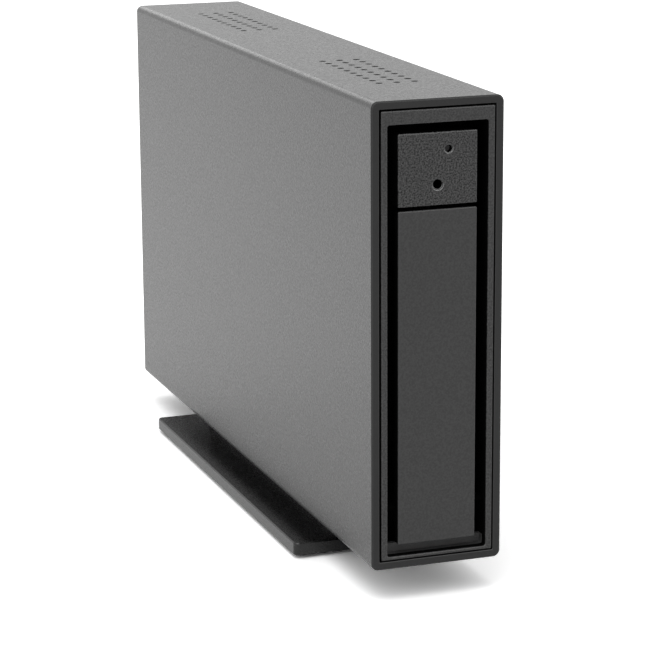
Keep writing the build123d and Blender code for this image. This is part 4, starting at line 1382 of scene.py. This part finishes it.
@dataclass(frozen=True)
class Contacts:
    """Flat gilt contacts, laid in rows along the end of a blade or tongue.

    Attributes:
        pitch: Distance between the contacts.
        width: Width of one.
        length: Length of one.
        height: How far one stands out of its blade.
        inset: Distance from the blade's end.
        slope: How far its sides lean in, as a share of its height.
    """

    pitch: float
    width: float
    length: float
    height: float
    inset: float
    slope: float = 0.3

    def row(self, count: int, end: Vector, side: Side) -> list[Spot]:
        """Places of one row, from the bottom up.

        Args:
            count: How many contacts it has.
            end: Middle of the row, on the blade's face and at its end.
            side: The way that the face looks.

        Returns:
            A spot for each contact.
        """
        depth = end.y - self.inset - self.length / 2
        first = end.z - self.pitch * (count - 1) / 2
        return [Spot(Vector((end.x, depth, first + index * self.pitch)), side) for index in range(count)]

    def build(self, name: str, spots: list[Spot], assembly: "SubAssembly") -> None:
        """Grow the contacts.

        Args:
            name: Their piece's name.
            spots: Where they lie.
            assembly: The sub-assembly that they belong to.
        """
        sizes = {"Width": self.width, "Length": self.length, "Height": self.height}
        gold = assembly.finishes.gold
        piece = assembly.trees.pads.grow(name, spots, gold, Slope=self.slope * self.height, **sizes)
        seat(piece, assembly.body, "brass")


@dataclass
class SubAssembly:
    """Pieces that are put together on the bench before the drive is closed.

    Attributes:
        finishes: The drive's materials.
        trees: The trees that its repeated pieces grow from.
        body: The body that most of its pieces ride on.
    """

    finishes: Finishes
    trees: Trees
    body: Body = Body.HOUSING

    def dress(self, material: bpy.types.Material, *names: str) -> None:
        """Give CAD pieces their finish through their own slots.

        Args:
            material: The finish.
            *names: The pieces.
        """
        for name in names:
            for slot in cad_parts[name].material_slots:
                slot.material = material
            log.info("%s: %s", name, material.name)

    def screw(self, finish: bpy.types.Material, *groups: ScrewSet) -> None:
        """Grow groups of screws in one finish."""
        for group in groups:
            group.build(self.trees.screws, finish, self.body)


@dataclass
class SleeveTube(SubAssembly):
    """The sleeve and its four guide rails.

    Attributes:
        rail_levels: The heights that rails run at.
        rail_sides: The sides that rails run on.
    """

    rail_levels: tuple = ("upper", "lower")
    rail_sides: tuple = ("left", "right")

    def build(self) -> None:
        """Dress the tube and its rails."""
        self.dress(self.finishes.sleeve, "sleeve")
        rails = [f"guide_rail_{level}_{side}" for level in self.rail_levels for side in self.rail_sides]
        self.dress(self.finishes.black_plastic, *rails)


@dataclass
class FlatStand(SubAssembly):
    """The stand: its plate, spacer, rubber feet and the screws that hold it.

    Attributes:
        head_height: Height of the screws' flat heads.
    """

    head_height: float = FLAT_HEAD

    def build(self) -> None:
        """Dress the stand and grow its screws."""
        self.dress(self.finishes.stand, "stand_plate", "stand_spacer")
        self.dress(self.finishes.rubber, "stand_feet")
        screws = ScrewSet("stand_screws", Side.DOWN, Head.FLAT, "black_screw", self.head_height)
        self.screw(self.finishes.black_zinc, screws)


@dataclass
class RearPanel(SubAssembly):
    """The rear panel with its power switch, data port and power jack.

    Attributes:
        head_height: Height of the panel's flat screw heads.
        mark_rise: How far the switch's marks stand proud.
        mark_sink: How far they reach into the rocker.
        bar_width: Width of the mark for on.
        bar_height: Height of the mark for on.
        ring_radius: Outer radius of the mark for off.
        ring_width: Width of its line.
        ring_steps: Sides of the mark for off.
        contacts: The port's contacts.
        contact_count: Contacts on each side of the port's tongue.
    """

    head_height: float = FLAT_HEAD
    mark_rise: float = 0.06 * MM
    mark_sink: float = 0.1 * MM
    bar_width: float = 0.5 * MM
    bar_height: float = 2.2 * MM
    ring_radius: float = 1.25 * MM
    ring_width: float = 0.42 * MM
    ring_steps: int = 40
    contacts: Contacts = Contacts(
        pitch=0.5 * MM, width=0.26 * MM, length=3.6 * MM, height=0.05 * MM, inset=0.25 * MM
    )
    contact_count: int = 12

    def build(self) -> None:
        """Dress the panel, mark its switch and fit the port's contacts."""
        self.dress(self.finishes.panel, "rear_panel")
        self.dress(self.finishes.gloss_plastic, "switch_body", "power_rocker")
        self.dress(self.finishes.black_plastic, "power_jack", "data_port_tongue")
        self.dress(self.finishes.shell, "data_port_shell", "switch_terminals", "power_jack_pin")
        for node in ("rear_panel_screws", "bracket_screws"):
            screws = ScrewSet(node, Side.BACK, Head.FLAT, "black_screw", self.head_height)
            self.screw(self.finishes.black_zinc, screws)
        self.switch_marks()
        self.port_contacts()

    def switch_marks(self) -> None:
        """Print the bar for on and the ring for off on the rocker's two slopes."""
        low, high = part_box("power_rocker")
        middle, quarter = (low.z + high.z) / 2, (high.z - low.z) / 4
        across, up = self.bar_width / 2, self.bar_height / 2
        corners = [(-across, -up), (across, -up), (across, up), (-across, up)]
        bar = [(x, middle + quarter + z) for x, z in corners]
        turns = [math.tau * step / self.ring_steps for step in range(self.ring_steps)]
        rings = [
            [(radius * math.cos(turn), middle - quarter + radius * math.sin(turn)) for turn in turns]
            for radius in (self.ring_radius, self.ring_radius - self.ring_width)
        ]
        mesh = bmesh.new()
        shown = bpy.context.evaluated_depsgraph_get()
        ground = BVHTree.FromObject(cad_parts["power_rocker"], shown)
        self.raised(mesh, ground, [bar])
        self.raised(mesh, ground, rings)
        bmesh.ops.recalc_face_normals(mesh, faces=mesh.faces)
        seat(modelled("rocker_marks", mesh, self.finishes.ink), Body.ROCKER, None)

    def raised(self, mesh: bmesh.types.BMesh, ground: BVHTree, loops: list[list[tuple]]) -> None:
        """Raise a closed mark on the rocker's face.

        Args:
            mesh: The mesh that it is added to.
            ground: The rocker's surface.
            loops: Its outline across and up, and its hole's outline where it has one, of as many points.
        """
        rows = []
        for offset in (self.mark_rise, -self.mark_sink):
            for loop in loops:
                row = []
                for across, up in loop:
                    hit = ground.ray_cast(Vector((across, cad_box[1][1], up)), Side.FRONT.vector)[0]
                    row.append(mesh.verts.new((across, hit.y + offset, up)))
                rows.append(row)
        if len(loops) == 1:
            top, bottom = rows
            mesh.faces.new(top)
            mesh.faces.new(bottom[::-1])
            walls = [(top, bottom)]
        else:
            top, top_hole, bottom, bottom_hole = rows
            walls = [(top, top_hole), (top_hole, bottom_hole), (bottom_hole, bottom), (bottom, top)]
        for first, second in walls:
            for a in range(len(first)):
                b = (a + 1) % len(first)
                mesh.faces.new((first[a], first[b], second[b], second[a]))

    def port_contacts(self) -> None:
        """Lay a row of gilt contacts along both sides of the port's tongue."""
        low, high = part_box("data_port_tongue")
        spots = []
        for face, side in ((low.x, Side.LEFT), (high.x, Side.RIGHT)):
            end = Vector((face, high.y, (low.z + high.z) / 2))
            spots += self.contacts.row(self.contact_count, end, side)
        self.contacts.build("data_port_contacts", spots, self)


@dataclass
class ElectronicsBay(SubAssembly):
    """The bracket with its main board, and the backplane that the tray plugs into.

    Attributes:
        leg_pitch: Distance between the chip's legs.
        leg_count: Legs on each side of the chip.
        leg_reach: How far a leg stands out.
        leg_width: Width of a leg.
        leg_thickness: Thickness of a leg.
        part_length: Length of a small ceramic part.
        part_width: Its width.
        part_height: Its height.
        part_slope: How far its sides lean in.
        cap_length: Length of its tinned ends.
        cap_slope: How far their sides lean in.
        part_pitch: Distance between the parts in a column.
        part_rows: Parts in a column.
        column_gaps: Distances of the columns from the chip's sides.
    """

    leg_pitch: float = 0.65 * MM
    leg_count: int = 12
    leg_reach: float = 1.0 * MM
    leg_width: float = 0.28 * MM
    leg_thickness: float = 0.13 * MM
    part_length: float = 1.6 * MM
    part_width: float = 0.8 * MM
    part_height: float = 0.6 * MM
    part_slope: float = 0.04 * MM
    cap_length: float = 0.32 * MM
    cap_slope: float = 0.06 * MM
    part_pitch: float = 1.9 * MM
    part_rows: int = 7
    column_gaps: tuple[float, float] = (4.2 * MM, 7.4 * MM)

    def build(self) -> None:
        """Dress the bay, and grow its screws, chip legs and small parts."""
        finishes = self.finishes
        self.dress(finishes.sheet, "board_bracket")
        self.dress(finishes.board, "main_board", "backplane_board")
        self.dress(finishes.black_plastic, "board_header", "drive_socket")
        self.dress(finishes.chip, "bridge_chip", "power_inductor")
        self.dress(finishes.can, "filter_capacitors")
        self.dress(finishes.shell, "board_standoffs")
        self.dress(finishes.pipe, "indicator_light")
        self.dress(finishes.lead, "switch_leads")
        self.screw(
            finishes.zinc,
            ScrewSet("backplane_screws", Side.FRONT, Head.PAN, "bright_screw", seed=2),
            ScrewSet("main_board_screws", Side.RIGHT, Head.PAN, "bright_screw", seed=3),
        )
        self.chip_legs()
        self.small_parts()

    def chip_legs(self) -> None:
        """Stand a row of legs along each of the chip's four sides."""
        low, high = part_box("bridge_chip")
        middle = (low + high) / 2
        half = (high.y - low.y) / 2
        first = -self.leg_pitch * (self.leg_count - 1) / 2
        spots = []
        for quarter in range(4):
            turn = quarter * math.pi / 2
            out = Vector((0.0, math.sin(turn), -math.cos(turn)))
            along = Vector((0.0, out.z, -out.y))
            for index in range(self.leg_count):
                place = middle + out * half + along * (first + index * self.leg_pitch)
                place.x = low.x
                spots.append(Spot(place, Side.RIGHT, turn))
        sizes = {"Reach": self.leg_reach, "Rise": middle.x - low.x, "Width": self.leg_width}
        legs = self.trees.legs
        piece = legs.grow("bridge_chip_legs", spots, self.finishes.tin, Thickness=self.leg_thickness, **sizes)
        seat(piece, self.body, "port_steel")

    def small_parts(self) -> None:
        """Set columns of ceramic parts beside the chip, with their tinned ends."""
        low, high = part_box("bridge_chip")
        first = (low.z + high.z) / 2 - self.part_pitch * (self.part_rows - 1) / 2
        columns = [low.y - gap for gap in self.column_gaps] + [high.y + gap for gap in self.column_gaps]
        heights = [first + row * self.part_pitch for row in range(self.part_rows)]
        places = [Vector((low.x, column, height)) for column in columns for height in heights]
        pads, sizes = self.trees.pads, {"Width": self.part_width, "Height": self.part_height}
        bodies = pads.grow(
            "board_ceramics",
            [Spot(place, Side.RIGHT) for place in places],
            self.finishes.ceramic,
            Length=self.part_length - 2 * self.cap_length,
            Slope=self.part_slope,
            **sizes,
        )
        seat(bodies, self.body, "chip_plastic")
        out = Side.BACK.vector * (self.part_length - self.cap_length) / 2
        caps = pads.grow(
            "board_ceramic_ends",
            [Spot(end, Side.RIGHT) for place in places for end in (place - out, place + out)],
            self.finishes.tin,
            Length=self.cap_length,
            Slope=self.cap_slope,
            **sizes,
        )
        seat(caps, self.body, "port_steel")


@dataclass
class DriveTray(SubAssembly):
    """The sliding channel with its adapter and the solid state drive.

    Attributes:
        body: The tray slides as one body.
        head_height: Height of the flat screw heads in the drive.
        contacts: The plug's contacts.
        power_count: Contacts on the wide blade.
        signal_count: Contacts on the narrow blade.
        power_middle: Middle of the wide blade above the plug's middle.
        signal_middle: Middle of the narrow blade above the plug's middle.
        blade_half: Half the blades' thickness.
    """

    body: Body = Body.TRAY
    head_height: float = FLAT_HEAD
    contacts: Contacts = Contacts(
        pitch=1.27 * MM, width=0.84 * MM, length=5.0 * MM, height=0.08 * MM, inset=0.5 * MM
    )
    power_count: int = 15
    signal_count: int = 7
    power_middle: float = -6.4 * MM
    signal_middle: float = 11.5 * MM
    blade_half: float = 0.6 * MM

    def build(self) -> None:
        """Dress the tray, and grow its screws and the plug's contacts."""
        finishes = self.finishes
        self.dress(finishes.sheet, "tray_channel")
        self.dress(finishes.black_plastic, "drive_adapter", "drive_plug")
        self.dress(finishes.case, "drive_case", "drive_cover")
        self.dress(finishes.board, "drive_board")
        self.dress(finishes.chip, "memory_chips", "drive_controller")
        self.dress(finishes.pipe, "light_pipe")
        self.screw(
            finishes.zinc,
            ScrewSet("tray_screws", Side.BACK, Head.PAN, "bright_screw", seed=4),
            ScrewSet("adapter_screws", Side.LEFT, Head.PAN, "bright_screw", seed=5),
            ScrewSet("drive_screws", Side.LEFT, Head.FLAT, "bright_screw", self.head_height, seed=6),
        )
        self.plug_contacts()

    def plug_contacts(self) -> None:
        """Lay the gilt contacts along the plug's two blades."""
        low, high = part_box("drive_plug")
        middle = (low + high) / 2
        spots = []
        for count, above in ((self.power_count, self.power_middle), (self.signal_count, self.signal_middle)):
            end = Vector((middle.x - self.blade_half, high.y, middle.z + above))
            spots += self.contacts.row(count, end, Side.LEFT)
        self.contacts.build("drive_plug_contacts", spots, self)


@dataclass
class TrayFront(SubAssembly):
    """The tray's front with its deep well, coil springs, spring catch and hinge pin.

    Attributes:
        body: It rides on the tray.
        wire_radius: Radius of the coil springs' wire.
        open_turns: Turns of a spring that are wound apart.
        closed_turns: Turns at each end that are wound tight.
        button_travel: How far the button presses its springs; not used.
        catch_edge: Radius of the catch's stamped edges.
        catch_lift: How far the pressed button's prongs lift the catch's hook; not used.
        flatness: Largest angle between triangles of one flat face of the catch, in degrees.
        edge_angle: How sharp an edge of the catch is softened, in degrees.
    """

    body: Body = Body.TRAY
    wire_radius: float = 0.25 * MM
    open_turns: float = 5.0
    closed_turns: float = 1.0
    button_travel: float = 2.0 * MM
    catch_edge: float = 0.08 * MM
    catch_lift: float = 0.75 * MM
    flatness: float = 1.0
    edge_angle: float = 30.0

    def build(self) -> None:
        """Dress the front, and build its springs, catch and screw."""
        self.dress(self.finishes.front, "tray_front")
        self.dress(self.finishes.shaded_pin, "hinge_pin")
        pushers = self.coils("button_springs")
        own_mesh(pushers)
        self.coils("handle_spring")
        self.catch()
        screw = ScrewSet("catch_screw", Side.FRONT, Head.PAN, "bright_screw", seed=7)
        self.screw(self.finishes.zinc, screw)

    def coils(self, node: str) -> bpy.types.Object:
        """Wind the coil springs of one node.

        Args:
            node: The CAD node that they stand for.

        Returns:
            The wound springs.
        """
        boxes = solid_boxes(node)
        low, high = boxes[0]
        piece = self.trees.coils.grow(
            node + "_wound",
            [Spot(end_middle(box, Side.FRONT), Side.BACK) for box in boxes],
            self.finishes.wire,
            Length=high.y - low.y,
            Coil_Radius=(high.x - low.x) / 2 - self.wire_radius,
            Wire_Radius=self.wire_radius,
            Open_Turns=self.open_turns,
            Closed_Turns=self.closed_turns,
        )
        seat(piece, self.body, "spring_steel", node)
        return piece

    def catch(self) -> None:
        """Stamp the spring catch, with its edges softened, and give it a mesh of its own."""
        mesh = merged_copy("spring_catch")
        flat = math.radians(self.flatness)
        bmesh.ops.dissolve_limit(mesh, angle_limit=flat, verts=mesh.verts, edges=mesh.edges)
        piece = modelled("spring_catch_stamped", mesh, self.finishes.wire)
        soft = piece.modifiers.new("edges", "BEVEL")
        soft.width = self.catch_edge
        soft.segments = 2
        soft.limit_method = "ANGLE"
        soft.angle_limit = math.radians(self.edge_angle)
        keep_result(piece)
        seat(piece, self.body, "spring_steel", "spring_catch")
        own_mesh(piece)


@dataclass
class ReleaseButton(SubAssembly):
    """The coarse-textured release button with the indicator's lens in it.

    Attributes:
        body: It is pressed into the tray's front.
    """

    body: Body = Body.BUTTON

    def build(self) -> None:
        """Dress the button and its lens."""
        self.dress(self.finishes.button, "release_button")
        self.dress(self.finishes.lens, "indicator_lens")


@dataclass
class PullHandle(SubAssembly):
    """The long plate that swings out to pull the tray.

    Attributes:
        body: It swings on the tray's hinge pin.
    """

    body: Body = Body.HANDLE

    def build(self) -> None:
        """Dress the handle."""
        self.dress(self.finishes.handle, "pull_handle")


@dataclass(frozen=True)
class SoftLamp:
    """A square soft lamp that looks at the drive.

    Attributes:
        name: Its name.
        place: Where it hangs, in metres.
        size: Length of its sides in metres.
        power: Its power in watts.
        aim: Height on the drive that it looks at, in metres.
    """

    name: str
    place: tuple[float, float, float]
    size: float
    power: float
    aim: float = 0.06

    def hang(self) -> None:
        """Hang the lamp in its place and aim it."""
        light = bpy.data.lights.new(self.name, "AREA")
        light.shape = "SQUARE"
        light.size = self.size
        light.energy = self.power
        lamp = linked(self.name, light)
        lamp.location = self.place
        beam = Vector((0, 0, self.aim)) - lamp.location
        lamp.rotation_euler = beam.to_track_quat("-Z", "Y").to_euler()


@dataclass
class Stage:
    """Pale floor, white surroundings and soft lamps.

    Attributes:
        floor_size: Length of the floor's sides in metres.
        floor_white: The floor's own colour.
        floor_lift: What is added to that colour where the floor is the background, in gloss too.
        eye_lift: What the eye sees beyond that, so that open floor is as white as the photograph's.
        sky: Strength of the light from all round.
        key: The large lamp overhead.
        edge: The lamp on the left, which draws out the front's edges.
        back: The far lamp behind, which shines along the sleeve's rounded top edges.
    """

    floor_size: float = 8.0
    floor_white: float = 0.93
    floor_lift: float = 0.25
    eye_lift: float = 0.32
    sky: float = 0.8
    key: SoftLamp = SoftLamp("key", (-0.3, -0.2, 1.6), size=1.3, power=9.4)
    edge: SoftLamp = SoftLamp("edge", (-1.2, -0.4, 0.45), size=0.5, power=1.2)
    back: SoftLamp = SoftLamp("back", (0.04, 2.2, 1.0), size=0.9, power=3.0)

    def build(self) -> None:
        """Build the floor, the surroundings and the lamps."""
        self.floor()
        self.surroundings()
        for lamp in (self.key, self.edge, self.back):
            lamp.hang()

    def floor(self) -> None:
        """Lay a pale matt floor under the drive."""
        half = self.floor_size / 2
        corners = [(-half, -half, 0), (half, -half, 0), (half, half, 0), (-half, half, 0)]
        mesh = bpy.data.meshes.new("floor")
        mesh.from_pydata(corners, [], [(0, 1, 2, 3)])
        mesh.materials.append(self.paper())
        floor = linked("floor", mesh)

    def paper(self) -> bpy.types.Material:
        """Make the floor's white, a little whiter where it is the background.

        Returns:
            The floor's material.
        """
        material = bpy.data.materials.new("floor_paper")
        material.use_nodes = True
        tree = NodeTree(material.node_tree)
        tree.tree.nodes.clear()
        white = shown_rays(tree) * self.floor_lift + self.floor_white
        shown = tree.take("ShaderNodeLightPath", output="Is Camera Ray") * self.eye_lift + white
        colour = tree.take("ShaderNodeCombineColor", {0: shown, 1: shown, 2: shown})
        matt = tree.take("ShaderNodeBsdfDiffuse", {"Color": colour})
        tree.add("ShaderNodeOutputMaterial", {"Surface": matt})
        return material

    def surroundings(self) -> None:
        """Make the surroundings white to the eye, with plain light from all round."""
        world = bpy.data.worlds.new("studio")
        bpy.context.scene.world = world
        world.use_nodes = True
        tree = NodeTree(world.node_tree)
        background = world.node_tree.nodes["Background"]
        background.inputs["Color"].default_value = (1.0, 1.0, 1.0, 1.0)
        tree.give(background.inputs["Strength"], tree.ramp(shown_rays(tree), (0.0, 1.0), (self.sky, 1.0)))


@dataclass
class Viewpoint:
    """The camera at the photograph's viewing angle.

    Attributes:
        place: The camera's place in metres.
        yaw: Its turn to the right of straight ahead, in degrees.
        pitch: How far it looks down, in degrees.
        roll: Its roll in degrees.
        lens: Focal length in millimetres.
        sensor: Sensor width in millimetres.
    """

    place: tuple[float, float, float] = (-0.23454, -0.68640, 0.22336)
    yaw: float = 19.4196
    pitch: float = 13.7132
    roll: float = -0.3553
    lens: float = 145.5
    sensor: float = 36.0

    def build(self) -> None:
        """Create the camera and make it the scene's."""
        data = bpy.data.cameras.new("camera")
        data.lens = self.lens
        data.sensor_width = self.sensor
        camera = linked("camera", data)
        aim = Euler((math.radians(90 - self.pitch), 0.0, math.radians(-self.yaw)), "XYZ").to_matrix()
        roll = Matrix.Rotation(math.radians(self.roll), 3, "Z")
        camera.matrix_world = Matrix.Translation(self.place) @ (aim @ roll).to_4x4()
        bpy.context.scene.camera = camera


def main() -> None:
    """Build the stage, then each sub-assembly of the drive in order."""
    logging.basicConfig(level=logging.INFO, format="%(message)s")
    bpy.context.scene.view_settings.view_transform = "Standard"
    Stage().build()
    Viewpoint().build()
    finishes, trees = Finishes(), Trees()
    fixed = (SleeveTube, FlatStand, RearPanel, ElectronicsBay)
    moving = (DriveTray, TrayFront, ReleaseButton, PullHandle)
    for kind in fixed + moving:
        log.info("%s:", kind.__name__)
        kind(finishes, trees).build()


if __name__ == "__main__":
    main()
